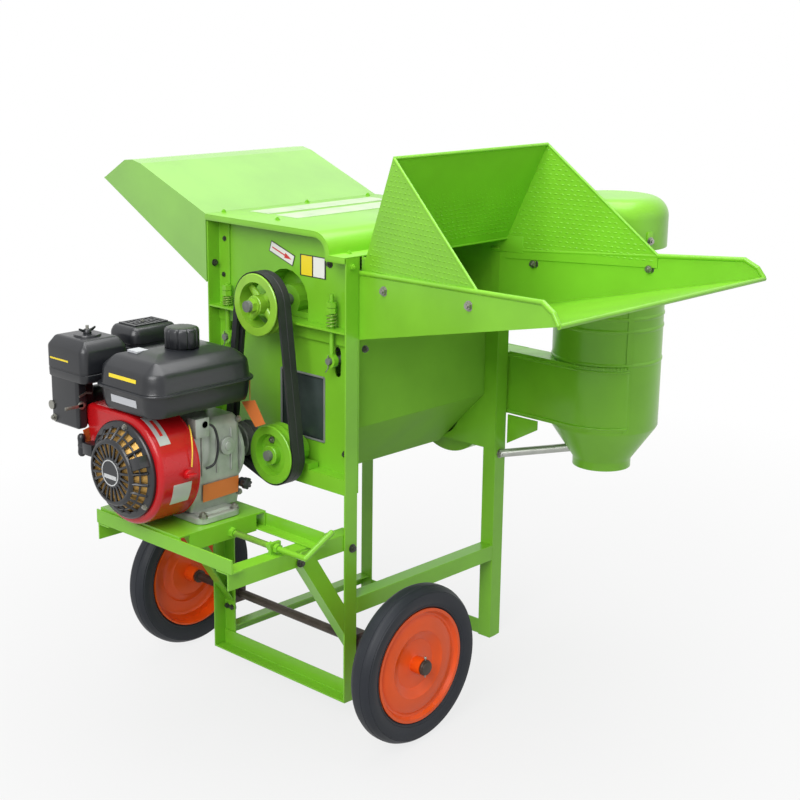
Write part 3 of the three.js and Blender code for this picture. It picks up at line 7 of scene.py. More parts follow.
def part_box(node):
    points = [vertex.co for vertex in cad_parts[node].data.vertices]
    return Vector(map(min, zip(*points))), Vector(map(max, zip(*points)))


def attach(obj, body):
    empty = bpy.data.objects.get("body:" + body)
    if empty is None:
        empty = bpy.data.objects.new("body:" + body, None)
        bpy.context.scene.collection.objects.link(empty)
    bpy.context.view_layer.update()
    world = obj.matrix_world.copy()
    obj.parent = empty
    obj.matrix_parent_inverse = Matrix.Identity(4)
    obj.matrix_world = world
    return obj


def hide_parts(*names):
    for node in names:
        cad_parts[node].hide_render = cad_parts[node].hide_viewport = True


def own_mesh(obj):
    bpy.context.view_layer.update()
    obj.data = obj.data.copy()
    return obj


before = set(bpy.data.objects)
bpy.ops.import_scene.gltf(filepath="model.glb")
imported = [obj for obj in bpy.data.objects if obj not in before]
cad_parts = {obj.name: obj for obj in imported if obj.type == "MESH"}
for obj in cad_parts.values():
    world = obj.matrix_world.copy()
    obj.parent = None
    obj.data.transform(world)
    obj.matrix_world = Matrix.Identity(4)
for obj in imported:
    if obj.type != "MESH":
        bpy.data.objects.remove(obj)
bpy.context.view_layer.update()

scene = bpy.context.scene
scene.view_settings.view_transform = "Standard"

# Camera. The view looks at the front left leg's side, from the engine and feed sides and a little above.
# Places are measured from the foot of the front left leg's heel, in metres.
heel_low, heel_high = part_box("front_left_leg")
foot = Vector((heel_high.x, heel_low.y, heel_low.z))
ACROSS = Vector((1, 0, 0))
DEPTH = Vector((0, 1, 0))
UP = Vector((0, 0, 1))


def at(x, y, z):
    return foot + Vector((x, y, z))


view_azimuth = radians(-47.15)
view_elevation = radians(14.77)
view_roll = radians(0.80)
back = Vector((sin(view_azimuth) * cos(view_elevation), -cos(view_azimuth) * cos(view_elevation),
               sin(view_elevation)))
level = Vector((cos(view_azimuth), sin(view_azimuth), 0))
upright = back.cross(level)
side = level * cos(view_roll) + upright * sin(view_roll)
top = upright * cos(view_roll) - level * sin(view_roll)
camera_data = bpy.data.cameras.new("camera")
camera_data.sensor_width = 36
camera_data.lens = 67.6
camera_place = at(-1.7671, -1.7370, 1.2093)
camera = bpy.data.objects.new("camera", camera_data)
camera.matrix_world = Matrix.Translation(camera_place) @ Matrix((side, top, back)).transposed().to_4x4()
scene.collection.objects.link(camera)
scene.camera = camera

# Studio. A pale floor under the wheels and the right legs, large soft lamps, and a white surround.
# The stand leans on its right legs, so the floor passes through the wheels' bottoms and those feet.
tyre_low, tyre_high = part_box("front_tyre")
wheel_low = tyre_low.z
wheel_x = (tyre_low.x + tyre_high.x) / 2
right_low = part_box("front_right_leg")[0]
floor_lean = atan2(right_low.z - wheel_low, right_low.x - wheel_x)
floor_reach = 14
floor_drop = 0.001
floor_grey = 0.35
shadow_near, shadow_far = 0.2, 1.6
shadow_light = 0.8
surround_light = 0.42
bm = bmesh.new()
bmesh.ops.create_grid(bm, x_segments=1, y_segments=1, size=floor_reach,
                      matrix=Matrix.Translation((wheel_x, 0, wheel_low - floor_drop))
                      @ Matrix.Rotation(-floor_lean, 4, "Y"))
floor_mesh = bpy.data.meshes.new("floor")
bm.to_mesh(floor_mesh)
bm.free()
floor = bpy.data.objects.new("floor", floor_mesh)
scene.collection.objects.link(floor)


def added(nodes, kind, **values):
    node = nodes.new("ShaderNode" + kind)
    for name, value in values.items():
        node.inputs[name.replace("_", " ")].default_value = value
    return node


def seen_as_background(nodes, links):
    path = added(nodes, "LightPath")
    seen = path.outputs["Is Camera Ray"]
    for ray in ("Is Glossy Ray", "Is Transmission Ray"):
        either = added(nodes, "Math")
        either.operation = "MAXIMUM"
        links.new(seen, either.inputs[0])
        links.new(path.outputs[ray], either.inputs[1])
        seen = either.outputs["Value"]
    return seen


pale = bpy.data.materials.new("pale_floor")
pale.use_nodes = True
nodes = pale.node_tree.nodes
links = pale.node_tree.links
lit = nodes["Principled BSDF"]
lit.inputs["Base Color"].default_value = (floor_grey, floor_grey, floor_grey, 1)
lit.inputs["Roughness"].default_value = 0.8
white = added(nodes, "Emission", Strength=1)
place = added(nodes, "TexCoord")
distance = added(nodes, "VectorMath")
distance.operation = "LENGTH"
links.new(place.outputs["Object"], distance.inputs[0])
fade = added(nodes, "MapRange", From_Min=shadow_near, From_Max=shadow_far, To_Min=shadow_light)
links.new(distance.outputs["Value"], fade.inputs["Value"])
share = added(nodes, "Math")
share.operation = "MULTIPLY"
links.new(seen_as_background(nodes, links), share.inputs[0])
links.new(fade.outputs["Result"], share.inputs[1])
blend_floor = added(nodes, "MixShader")
links.new(share.outputs["Value"], blend_floor.inputs["Fac"])
links.new(lit.outputs["BSDF"], blend_floor.inputs[1])
links.new(white.outputs["Emission"], blend_floor.inputs[2])
links.new(blend_floor.outputs["Shader"], nodes["Material Output"].inputs["Surface"])
floor_mesh.materials.append(pale)

world = bpy.data.worlds.new("surround")
scene.world = world
world.use_nodes = True
nodes = world.node_tree.nodes
links = world.node_tree.links
surround = nodes["Background"]
surround.inputs["Color"].default_value = (1, 1, 1, 1)
strength = added(nodes, "MapRange", To_Min=surround_light, To_Max=1)
links.new(seen_as_background(nodes, links), strength.inputs["Value"])
links.new(strength.outputs["Result"], surround.inputs["Strength"])


def lamp(name, place, aim, width, power):
    data = bpy.data.lights.new(name, "AREA")
    data.size = width
    data.energy = power
    lamp_object = bpy.data.objects.new(name, data)
    lamp_object.location = place
    lamp_object.rotation_euler = (aim - place).to_track_quat("-Z", "Y").to_euler()
    scene.collection.objects.link(lamp_object)


body_middle = at(0.19, 0.18, 0.5)
lamp("key_lamp", body_middle + Vector((-3.0, -1.2, 2.2)), body_middle, width=2.4, power=122)
lamp("top_lamp", body_middle + Vector((0.2, -0.2, 3.4)), body_middle, width=3.0, power=122)
lamp("fill_lamp", body_middle + Vector((1.4, -3.4, 0.9)), body_middle, width=2.6, power=14)

# Stand. Four legs, the bottom rails and the lower rails are lengths of angle iron, welded and painted lime.
# The rolled edges are slightly round, and the paint is thick, glossy and a little uneven.


def tint(red, green, blue):
    return [((value / 255 + 0.055) / 1.055) ** 2.4 if value > 10 else value / 255 / 12.92
            for value in (red, green, blue)] + [1]


roughness_swing = 0.2
pale_lift = 0.02
grain_depth = 0.001


def finish(name, colour, roughness, metallic=0.0, mottle=0.08, patch=9.0, grain=900.0, relief=0.02, coat=0.0,
           shine=0.5):
    material = bpy.data.materials.new(name)
    material.use_nodes = True
    nodes = material.node_tree.nodes
    links = material.node_tree.links
    shader = nodes["Principled BSDF"]
    shader.inputs["Metallic"].default_value = metallic
    shader.inputs["Coat Weight"].default_value = coat
    shader.inputs["Specular IOR Level"].default_value = shine
    place = added(nodes, "TexCoord")
    cloud = added(nodes, "TexNoise", Scale=patch, Detail=6)
    links.new(place.outputs["Object"], cloud.inputs["Vector"])
    shift = added(nodes, "MapRange", From_Min=0.3, From_Max=0.7)
    links.new(cloud.outputs["Fac"], shift.inputs["Value"])
    mix = added(nodes, "Mix")
    mix.data_type = "RGBA"
    dark = [value * (1 - mottle) for value in colour[:3]] + [1]
    pale = [min(value * (1 + mottle) + mottle * pale_lift, 1) for value in colour[:3]] + [1]
    mix.inputs["A"].default_value = dark
    mix.inputs["B"].default_value = pale
    links.new(shift.outputs["Result"], mix.inputs["Factor"])
    links.new(mix.outputs["Result"], shader.inputs["Base Color"])
    rough = added(nodes, "MapRange", To_Min=roughness * (1 - roughness_swing),
                  To_Max=min(roughness * (1 + roughness_swing), 1))
    links.new(cloud.outputs["Fac"], rough.inputs["Value"])
    links.new(rough.outputs["Result"], shader.inputs["Roughness"])
    fine = added(nodes, "TexNoise", Scale=grain)
    links.new(place.outputs["Object"], fine.inputs["Vector"])
    bump = added(nodes, "Bump", Strength=relief, Distance=grain_depth)
    links.new(fine.outputs["Fac"], bump.inputs["Height"])
    links.new(bump.outputs["Normal"], shader.inputs["Normal"])
    return material


lime_paint = finish("lime_paint", tint(122, 188, 42), 0.36, coat=0.3, shine=0.3)
lime_paint.node_tree.nodes["Principled BSDF"].inputs["Coat Roughness"].default_value = 0.22
merge_gap = 0.00002


def dress(material, *names, edge=0.0007):
    for name in names:
        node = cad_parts[name]
        if not node.material_slots:
            node.data.materials.append(material)
        node.material_slots[0].material = material
        if edge:
            weld = node.modifiers.new("weld", "WELD")
            weld.merge_threshold = merge_gap
            round_over = node.modifiers.new("round_over", "BEVEL")
            round_over.width = edge
            round_over.segments = 2
            round_over.limit_method = "ANGLE"
            round_over.angle_limit = radians(40)
            round_over.harden_normals = False


dress(lime_paint, "front_left_leg", "rear_left_leg", "front_right_leg", "rear_right_leg", "left_bottom_rail",
      "right_bottom_rail", "rear_lower_rail", "front_lower_rail")


def block(bm, low, high):
    middle = Matrix.Translation((low + high) / 2)
    return bmesh.ops.create_cube(bm, size=1, matrix=middle @ Matrix.Diagonal((*(high - low), 1)))["verts"]


def bar(bm, start, end, radius, sides=24, end_radius=None):
    along = end - start
    turn = along.to_track_quat("Z", "Y").to_matrix().to_4x4()
    far_radius = radius if end_radius is None else end_radius
    middle = Matrix.Translation((start + end) / 2)
    return bmesh.ops.create_cone(bm, cap_ends=True, segments=sides, radius1=radius, radius2=far_radius,
                                 depth=along.length, matrix=middle @ turn)["verts"]


def ball(bm, centre, radius, around=16, up=10):
    bmesh.ops.create_uvsphere(bm, u_segments=around, v_segments=up, radius=radius,
                              matrix=Matrix.Translation(centre))


def spun(bm, profile, centre, axis, steps=72):
    radial = UP if abs(axis.z) < 0.5 else ACROSS
    verts = [bm.verts.new(centre + radial * radius + axis * along) for radius, along in profile]
    edges = [bm.edges.new(pair) for pair in zip(verts, verts[1:])]
    bmesh.ops.spin(bm, geom=verts + edges, cent=centre, axis=axis, angle=2 * pi, steps=steps, use_merge=True)


def rectangle(low_along, low_up, high_along, high_up):
    return [(low_along, low_up), (high_along, low_up), (high_along, high_up), (low_along, high_up)]


def tube(bm, bore, radius, low, high, centre, axis, steps=72):
    corners = rectangle(bore, low, radius, high)
    spun(bm, corners + corners[:1], centre, axis, steps)


def plate(bm, points, depth):
    face = bm.faces.new([bm.verts.new(point) for point in points])
    grown = bmesh.ops.extrude_face_region(bm, geom=[face])["geom"]
    bmesh.ops.translate(bm, vec=depth, verts=[item for item in grown if isinstance(item, bmesh.types.BMVert)])


def soften(bm, width, segments=2, angle=30):
    bmesh.ops.remove_doubles(bm, verts=bm.verts[:], dist=merge_gap)
    sharp = [edge for edge in bm.edges if edge.is_manifold and edge.calc_face_angle() > radians(angle)]
    bmesh.ops.bevel(bm, geom=sharp, offset=width, segments=segments, profile=0.5, affect="EDGES",
                    clamp_overlap=True, material=-1)


def make(name, bm, material, body, stands_for=(), smooth=40):
    bmesh.ops.remove_doubles(bm, verts=bm.verts[:], dist=merge_gap)
    bmesh.ops.recalc_face_normals(bm, faces=bm.faces[:])
    mesh = bpy.data.meshes.new(name)
    bm.to_mesh(mesh)
    bm.free()
    mesh.materials.append(material)
    mesh.shade_smooth()
    mesh.set_sharp_from_angle(angle=radians(smooth))
    piece = bpy.data.objects.new(name, mesh)
    scene.collection.objects.link(piece)
    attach(piece, body)
    if stands_for:
        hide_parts(*stands_for)
    return piece


# Engine platform. Two angle-iron arms and two crossbars, braced from below and bolted to the left legs.
# The arms carry the engine's sliding base, and dark bolts hold the braces.
dress(lime_paint, "front_arm", "rear_arm", "outer_crossbar", "inner_crossbar", "front_brace", "rear_brace")
zinc = finish("zinc_plate", tint(150, 150, 142), 0.38, metallic=0.9, mottle=0.15, patch=60)
dark_bolts = finish("dark_bolts", tint(78, 80, 72), 0.42, metallic=0.7, mottle=0.2, patch=60)
washer_share, washer_width_share = 0.22, 1.3
head_share = 0.7
thread_share, thread_width_share = 0.45, 0.5


def bolt(bm, place, outward, size):
    washer = outward * size * washer_share
    head = outward * size * (washer_share + head_share)
    thread = outward * size * (washer_share + head_share + thread_share)
    bar(bm, place - washer, place + washer, size * washer_width_share)
    bar(bm, place, place + head, size, sides=6)
    bar(bm, place, place + thread, size * thread_width_share, sides=16)


frame_bolt = 0.006
brace_foot_z = 0.079
bm = bmesh.new()
for bolt_x, bolt_z in [(-0.012, 0.290), (-0.135, 0.296)]:
    bolt(bm, at(bolt_x, 0, bolt_z), -DEPTH, frame_bolt)
for bolt_y in (0.334, 0.347):
    bolt(bm, at(0, bolt_y, brace_foot_z), -ACROSS, frame_bolt)
make("platform_bolts", bm, dark_bolts, "stand")

# Axle and wheels. A dark steel bar is clamped inside the left legs and carries two rubber-tyred wheels.
# The discs are pressed steel painted orange, turned on hub tubes and held by caps with cotter pins.
bare_steel = finish("dark_steel", tint(74, 65, 58), 0.5, metallic=0.6, mottle=0.25, patch=40)
dress(bare_steel, "axle", edge=0)
tyre_rubber = finish("tyre_rubber", tint(38, 41, 47), 0.5, mottle=0.14, patch=14, grain=500, relief=0.05,
                     shine=0.25)
orange_paint = finish("orange_paint", tint(232, 84, 15), 0.34, mottle=0.08, patch=10, coat=0.12,
                      shine=0.3)
disc_low, disc_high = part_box("front_wheel_disc")
tyre_half_width = (tyre_high.y - tyre_low.y) / 2
tyre_radius = (tyre_high.z - tyre_low.z) / 2
rim_radius = (disc_high.z - disc_low.z) / 2
hub_half = (disc_high.y - disc_low.y) / 2
rim_half = 0.017
hub_radius = 0.015
hub_bore = 0.0095
tread_shares = [(0.0, 0.62), (0.10, 0.80), (0.13, 0.84), (0.17, 0.80), (0.34, 0.94), (0.55, 1.0),
                (0.72, 0.96), (0.74, 0.90), (0.78, 0.90), (0.80, 0.84), (0.90, 0.66), (0.965, 0.42),
                (0.965, 0.34), (0.99, 0.31), (1.0, 0.12)]
outer_face = [(hub_radius, 0.0045), (hub_radius + 0.003, 0.003), (0.044, 0.003), (0.049, 0.0065),
              (0.056, 0.0075), (0.061, 0.0115), (0.084, 0.0125), (0.089, 0.0095), (0.093, 0.0105),
              (0.0975, rim_half)]
inner_face = [(0.100, -rim_half), (0.0995, 0.007), (0.092, 0.0075), (0.088, 0.0065), (0.083, 0.0095),
              (0.062, 0.0085), (0.057, 0.0045), (0.049, 0.0035), (0.044, 0), (hub_radius, 0)]
cap_flange = 0.0138
cap_bevel = 0.003
cap_gap = 0.0006
cap_proud = 0.001
pin_inset = 0.0045
pin_half = 0.018
pin_radius = 0.0013
pin_eye = 0.0026
for wheel, outward in (("front", -1), ("rear", 1)):
    low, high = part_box(f"{wheel}_tyre")
    centre = (low + high) / 2
    flank = tyre_radius - rim_radius
    outline = [(rim_radius + flank * up, tyre_half_width * out) for up, out in tread_shares]
    outline += [(radius, -along) for radius, along in reversed(outline)]
    bm = bmesh.new()
    spun(bm, outline + outline[:1], centre, DEPTH, steps=96)
    make(f"{wheel}_tyre_tread", bm, tyre_rubber, f"{wheel}_wheel", [f"{wheel}_tyre"],
         smooth=50)
    bm = bmesh.new()
    pressed = [(hub_bore, hub_half), (hub_radius, hub_half)] + outer_face
    pressed += [(rim_radius, rim_half), (rim_radius, -rim_half)] + inner_face
    pressed += [(hub_radius, -hub_half), (hub_bore, -hub_half), (hub_bore, hub_half)]
    spun(bm, [(radius, along * outward) for radius, along in pressed], centre, DEPTH, steps=96)
    make(f"{wheel}_wheel_pressing", bm, orange_paint, f"{wheel}_wheel",
         [f"{wheel}_wheel_disc"], smooth=35)
for wheel, outward in (("front", -1), ("rear", 1)):
    end = 0 if outward < 0 else 1
    axle_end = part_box("axle")[end].y
    hub_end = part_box(f"{wheel}_wheel_disc")[end].y + outward * cap_gap
    cap_end = axle_end + outward * cap_proud
    low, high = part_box(f"{wheel}_tyre")
    axle_line = Vector(((low.x + high.x) / 2, 0, (low.z + high.z) / 2))
    bm = bmesh.new()
    spun(bm, [(0, cap_end), (cap_flange - cap_bevel, cap_end), (cap_flange, axle_end - outward * cap_bevel),
              (cap_flange, hub_end), (0, hub_end)], axle_line, DEPTH, steps=48)
    make(f"{wheel}_hub_cap", bm, bare_steel, "stand", smooth=35)
    bm = bmesh.new()
    pin = axle_line + DEPTH * (axle_end - outward * pin_inset)
    bar(bm, pin + UP * pin_half, pin - UP * pin_half, pin_radius, sides=12)
    ball(bm, pin + UP * pin_half, pin_eye)
    make(f"{wheel}_hub_pin", bm, zinc, "stand")

# Body. Two end panels of sheet steel with bearing pockets, and a lower shroud of folded sheet between them.
# Dark bolts with washers hold the panels to the legs, and a smoked pane closes the left panel's window; its
# dark colour is partly the smoked sheet's tint and partly painted shade of the inside behind it.
dress(lime_paint, "left_end_panel", "right_end_panel", edge=0.0005)
matt_lime = finish("matt_lime", tint(122, 182, 54), 0.6, shine=0.12)
dress(matt_lime, "lower_shroud", edge=0.0005)
panel_bolt = 0.005
left_face, right_face = 0.0003, 0.3747
rear_flange_y, rear_bolt_z = 0.353, 0.750
shroud_bolt_z = 0.6418
leg_bolt_z = 0.7862
bm = bmesh.new()
for bolt_y, bolt_z in [(0.0686, 0.7804), (0.338, 0.7942), (0.3415, 0.7283), (0.300, 0.452), (0.030, 0.452)]:
    bolt(bm, at(left_face, bolt_y, bolt_z), -ACROSS, panel_bolt)
    bolt(bm, at(right_face, bolt_y, bolt_z), ACROSS, panel_bolt)
for bolt_x in (-0.015, 0.390):
    bolt(bm, at(bolt_x, rear_flange_y, rear_bolt_z), -DEPTH, panel_bolt)
for bolt_x in (0.0162, 0.3588):
    bolt(bm, at(bolt_x, 0, shroud_bolt_z), -DEPTH, panel_bolt)
make("panel_bolts", bm, dark_bolts, "stand")
bm = bmesh.new()
for bolt_x in (-0.0152, 0.3902):
    bolt(bm, at(bolt_x, 0, leg_bolt_z), -DEPTH, panel_bolt)
make("leg_bolts", bm, lime_paint, "stand")

window_front, window_rear = 0.082, 0.192
window_foot, window_head = 0.463, 0.579
edging_radius = 0.002
grey_lip = finish("grey_edging", tint(120, 124, 120), 0.5, mottle=0.1, patch=30)
bm = bmesh.new()
corners = [at(0, y, z) for y, z in rectangle(window_front, window_foot, window_rear, window_head)]
for start, end in zip(corners, corners[1:] + corners[:1]):
    bar(bm, start, end, edging_radius, sides=12)
make("window_edging", bm, grey_lip, "stand")
# The pane is opaque, so its dark grey-green is partly the smoked sheet's own tint and partly painted shade of
# the unlit inside seen through it.
pane_tint_and_shade = finish("smoked_pane_and_painted_shade", tint(52, 62, 60), 0.24, mottle=0.25, patch=16, coat=0.2)
pane_lap = 0.004
pane_back = 0.0034
pane_wall = 0.002
pane = rectangle(window_front - pane_lap, window_foot - pane_lap, window_rear + pane_lap,
                 window_head + pane_lap)
bm = bmesh.new()
plate(bm, [at(pane_back, y, z) for y, z in pane], ACROSS * pane_wall)
soften(bm, 0.0006)
make("window_pane", bm, pane_tint_and_shade, "stand")

# Labels. Two plain self-adhesive plates with thin dark borders lie on the left end panel.
# The one by the drum pulley carries a red arrow for the way the drum turns, and the other is half amber.
label_white = finish("label_white", tint(232, 232, 226), 0.4, mottle=0.03)
label_red = finish("label_red", tint(205, 40, 36), 0.4, mottle=0.04)
label_amber = finish("label_amber", tint(238, 212, 44), 0.4, mottle=0.04)
label_height = 0.0006
ink_height = 0.0009
label_x = -0.0004
label_border = 0.0016
arrow_middle = at(label_x, 0.188, 0.785)
arrow_along = Vector((0, 0.947, 0.321))
arrow_up = Vector((0, -0.321, 0.947))
arrow_half, arrow_half_height = 0.032, 0.0102
arrow_outline = [(0.026, 0.0012), (-0.008, 0.0012), (-0.008, 0.0048), (-0.026, 0), (-0.008, -0.0048),
                 (-0.008, -0.0012), (0.026, -0.0012)]
square_low, square_high = (0.078, 0.7525), (0.142, 0.7900)
square_split = 0.1103


def label_patch(bm, half_along, half_up, height, rise):
    spots = rectangle(-half_along, -half_up, half_along, half_up)
    corners = [arrow_middle + arrow_along * along + arrow_up * up - ACROSS * rise for along, up in spots]
    plate(bm, corners, -ACROSS * height)


def label_square(bm, low_y, high_y, inset, thick):
    block(bm, at(label_x - thick, low_y + inset, square_low[1] + inset),
          at(label_x, high_y - inset, square_high[1] - inset))


label_black = finish("label_black", tint(44, 44, 42), 0.4, mottle=0.05)
bm = bmesh.new()
label_patch(bm, arrow_half, arrow_half_height, label_height / 2, 0)
label_square(bm, square_low[0], square_high[0], 0, label_height / 2)
make("label_borders", bm, label_black, "stand")
bm = bmesh.new()
label_patch(bm, arrow_half - label_border, arrow_half_height - label_border, label_height / 2,
            label_height / 4)
label_square(bm, square_low[0] + label_border, square_split, label_border, label_height)
make("panel_labels", bm, label_white, "stand")
bm = bmesh.new()
plate(bm, [arrow_middle + arrow_along * along + arrow_up * up - ACROSS * label_height / 2
           for along, up in arrow_outline], -ACROSS * (ink_height - label_height))
make("turning_arrow", bm, label_red, "stand")
bm = bmesh.new()
label_square(bm, square_split, square_high[0] - label_border, label_border, label_height)
make("label_panel", bm, label_amber, "stand")

# Cover. One folded sheet runs from the rear edge over a round front corner, with turned-down ends.
# Small painted bolts hold it to the legs, and two bare pale bands cross its rear half.
cover_low, cover_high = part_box("top_cover")
cover_wall = 0.002
cover_round = 0.037
cover_flange = 0.036
cover_lip = 0.011
front_top = cover_high.z - cover_round


def cover_line(offset):
    points = [Vector((0, cover_high.y, cover_high.z - offset))]
    centre = Vector((0, cover_low.y + cover_flange + cover_round, front_top))
    steps = 14
    for step in range(steps + 1):
        angle = radians(90 + 90 * step / steps)
        points.append(centre + (cover_round - offset) * Vector((0, cos(angle), sin(angle))))
    points[-1].z -= offset
    points.append(Vector((0, cover_low.y, front_top - offset)))
    return points


lip_inset = 0.0002
cover_bolt = 0.0038
cover_bolt_spots = [(0.006, 0.350), (0.214, 0.350), (0.380, 0.350), (0.0097, 0.2103), (0.3653, 0.2103)]
flange_bolt_y = 0.026
stripe_left, stripe_right = 0.048, 0.362
bm = bmesh.new()
for low_x, high_x, near, far in [
        (cover_low.x, cover_high.x, 0, cover_wall),
        (cover_low.x + lip_inset, cover_low.x + cover_wall, cover_wall / 2, cover_lip),
        (cover_high.x - cover_wall, cover_high.x - lip_inset, cover_wall / 2, cover_lip)]:
    band = cover_line(near) + cover_line(far)[::-1]
    plate(bm, [point + ACROSS * low_x for point in band], ACROSS * (high_x - low_x))
soften(bm, 0.0005)
make("cover_sheet", bm, lime_paint, "stand", ["top_cover"])
bm = bmesh.new()
for bolt_x, bolt_y in cover_bolt_spots:
    bolt(bm, Vector((foot.x + bolt_x, foot.y + bolt_y, cover_high.z)), UP, cover_bolt)
for bolt_x in (0.0034, 0.3716):
    bolt(bm, Vector((foot.x + bolt_x, foot.y + flange_bolt_y, front_top)), UP, cover_bolt)
make("cover_bolts", bm, lime_paint, "stand")
band_silver = finish("band_silver", tint(176, 196, 160), 0.4, mottle=0.14, patch=26)
bm = bmesh.new()
for stripe_front, stripe_rear in ((0.200, 0.258), (0.276, 0.326)):
    block(bm, Vector((foot.x + stripe_left, foot.y + stripe_front, cover_high.z)),
          Vector((foot.x + stripe_right, foot.y + stripe_rear, cover_high.z + label_height)))
make("cover_band", bm, band_silver, "stand")

# Straw hood. A sloping roof of sheet steel with folded side sheets, hung on the rear legs.
# It is open below, and its roof is creased along the ridge.
roof_paint = finish("roof_paint", tint(124, 184, 62), 0.34, coat=1.0)
roof_paint.node_tree.nodes["Principled BSDF"].inputs["Coat Roughness"].default_value = 0.25
dress(roof_paint, "straw_hood", edge=0.0005)

# Feed tray. A flared trough of folded sheet steel, whose walls have thick hems along their top edges.
# Bolts with washers hold its walls to the hopper's cheeks, with a nut on each inner face.
dress(lime_paint, "feed_tray", edge=0.0005)
tray_root = 0.0026
tray_flare = 0.202
hem_radius = 0.0026


def flared(y, inset=0):
    return tray_root + inset - tray_flare * max(-y, 0)


def opposite(point):
    return Vector((2 * foot.x + stand_width - point.x, point.y, point.z))


stand_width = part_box("front_right_leg")[0].x - heel_high.x
wall_inset = 0.001
wall_line = [(0.018, 0.774), (0, 0.774), (-0.455, 0.801), (-0.478, 0.789), (-0.489, 0.774)]
wall_top = [at(flared(y, wall_inset), y, z) for y, z in wall_line]
tray_hem = 0.0042
tray_bolt = 0.0064
inner_nut = tray_bolt * 0.8
bolted_wall = 0.007
bm = bmesh.new()
for points in (wall_top, [opposite(point) for point in wall_top]):
    for start, end in zip(points, points[1:]):
        bar(bm, start, end, tray_hem, sides=16)
        ball(bm, end, tray_hem)
make("tray_hems", bm, lime_paint, "stand")
bm = bmesh.new()
for y, z in [(-0.070, 0.7545), (-0.290, 0.768)]:
    outer = at(flared(y), y, z)
    inner = outer + ACROSS * bolted_wall
    bolt(bm, outer, -ACROSS, tray_bolt)
    bolt(bm, opposite(outer), ACROSS, tray_bolt)
    bolt(bm, inner, ACROSS, inner_nut)
    bolt(bm, opposite(inner), -ACROSS, inner_nut)
make("tray_bolts", bm, zinc, "stand")

# Hopper. A leaning back and two triangular cheeks of sheet steel, embossed with staggered short dimples.
# Their free edges are hemmed, and folded tabs close the gaps beside the front legs.
dress(lime_paint, "hopper", edge=0.0004)
cheek_inset = 0.0033
cheek_outer = 0.0023
cheek_inner = 0.0043
apex_y, apex_z = -0.089, 0.974
cheek_front_y, cheek_front_z = -0.304, 0.793
back_foot_y, back_foot_z = -0.015, 0.797
bm = bmesh.new()
left_apex = at(flared(apex_y, cheek_inset), apex_y, apex_z - hem_radius)
left_front = at(flared(cheek_front_y, cheek_inset), cheek_front_y, cheek_front_z)
left_foot = at(flared(back_foot_y, cheek_inset), back_foot_y, back_foot_z)
for apex, front in ((left_apex, left_front), (opposite(left_apex), opposite(left_front))):
    bar(bm, apex, front, hem_radius, sides=12)
    ball(bm, front, hem_radius, around=12, up=8)
bar(bm, left_apex, opposite(left_apex), hem_radius, sides=12)
bar(bm, left_foot, opposite(left_foot), hem_radius * 0.8, sides=12)
make("hopper_hems", bm, lime_paint, "stand")
tab_front_y, tab_rear_y = -0.048, -0.001
tab_foot_z, tab_head_z = 0.772, 0.802
tab_wall = 0.002
tab_line = rectangle(tab_rear_y, tab_foot_z, tab_front_y, tab_head_z)
tab = [at(flared(y, cheek_inset), y, z) for y, z in tab_line]
bm = bmesh.new()
plate(bm, tab, ACROSS * tab_wall)
plate(bm, [opposite(point) for point in tab], -ACROSS * tab_wall)
soften(bm, 0.0004)
make("hopper_tabs", bm, lime_paint, "stand")

dimple_length = 0.0042
dimple_width = 0.0016
dimple_height = 0.0007
dimple_pitch = 0.0125
dimple_row = 0.0085
dimple_border = 0.010
cheek_reach_along, cheek_reach_up = 0.30, 0.20
bm = bmesh.new()
bmesh.ops.create_uvsphere(bm, u_segments=8, v_segments=6, radius=1)
one_dimple = bpy.data.meshes.new("one_dimple")
bm.to_mesh(one_dimple)
bm.free()


def dimples(bm, origin, along, across, inside, reach_along, reach_across):
    facing = along.cross(across).normalized()
    turn = Matrix((along, across, facing)).transposed().to_4x4()
    size = Matrix.Diagonal((dimple_length, dimple_width, dimple_height, 1))
    for row in range(int(reach_across / dimple_row)):
        for step in range(int(reach_along / dimple_pitch)):
            u = dimple_pitch * (step + (0.5 if row % 2 else 0))
            v = dimple_row * row
            if inside(u, v):
                place = Matrix.Translation(origin + along * u + across * v) @ turn @ size
                one_dimple.transform(place)
                bm.from_mesh(one_dimple)
                one_dimple.transform(place.inverted())


slope = (cheek_front_z - apex_z) / (cheek_front_y - apex_y)
cheek_along = Vector((tray_flare, 1, 0)).normalized()
cheek_run = hypot(1, tray_flare)
cheek_back_slope = (apex_y - back_foot_y) / (apex_z - back_foot_z)


def inside_cheek(u, v):
    y = cheek_front_y + u / cheek_run
    z = cheek_front_z - dimple_border + v
    under_edge = z < cheek_front_z + (y - cheek_front_y) * slope - dimple_border
    before_back = y < back_foot_y + max(z - back_foot_z, 0) * cheek_back_slope - dimple_border / 2
    return under_edge and before_back


bm = bmesh.new()
for inset in (cheek_outer, cheek_inner):
    origin = at(flared(cheek_front_y, inset), cheek_front_y, cheek_front_z - dimple_border)
    dimples(bm, origin, cheek_along, UP, inside_cheek, cheek_reach_along, cheek_reach_up)
    mirrored = Vector((-cheek_along.x, cheek_along.y, 0))
    dimples(bm, opposite(origin), mirrored, UP, inside_cheek, cheek_reach_along, cheek_reach_up)
back_up = Vector((0, apex_y - back_foot_y, apex_z - back_foot_z)).normalized()
back_rise = hypot(apex_y - back_foot_y, apex_z - back_foot_z)
back_start = flared(apex_y)


def inside_back(u, v):
    y = back_foot_y + v * back_up.y
    margin = -flared(y, cheek_inner) + dimple_border
    x = u + back_start
    between_cheeks = -margin + 2 * dimple_border < x < stand_width + margin - 2 * dimple_border
    return between_cheeks and dimple_border < v < back_rise - dimple_border


back_origin = at(back_start, back_foot_y, back_foot_z)
dimples(bm, back_origin, ACROSS, back_up, inside_back, stand_width - 2 * back_start, back_rise)
make("hopper_dimples", bm, lime_paint, "stand", smooth=60)

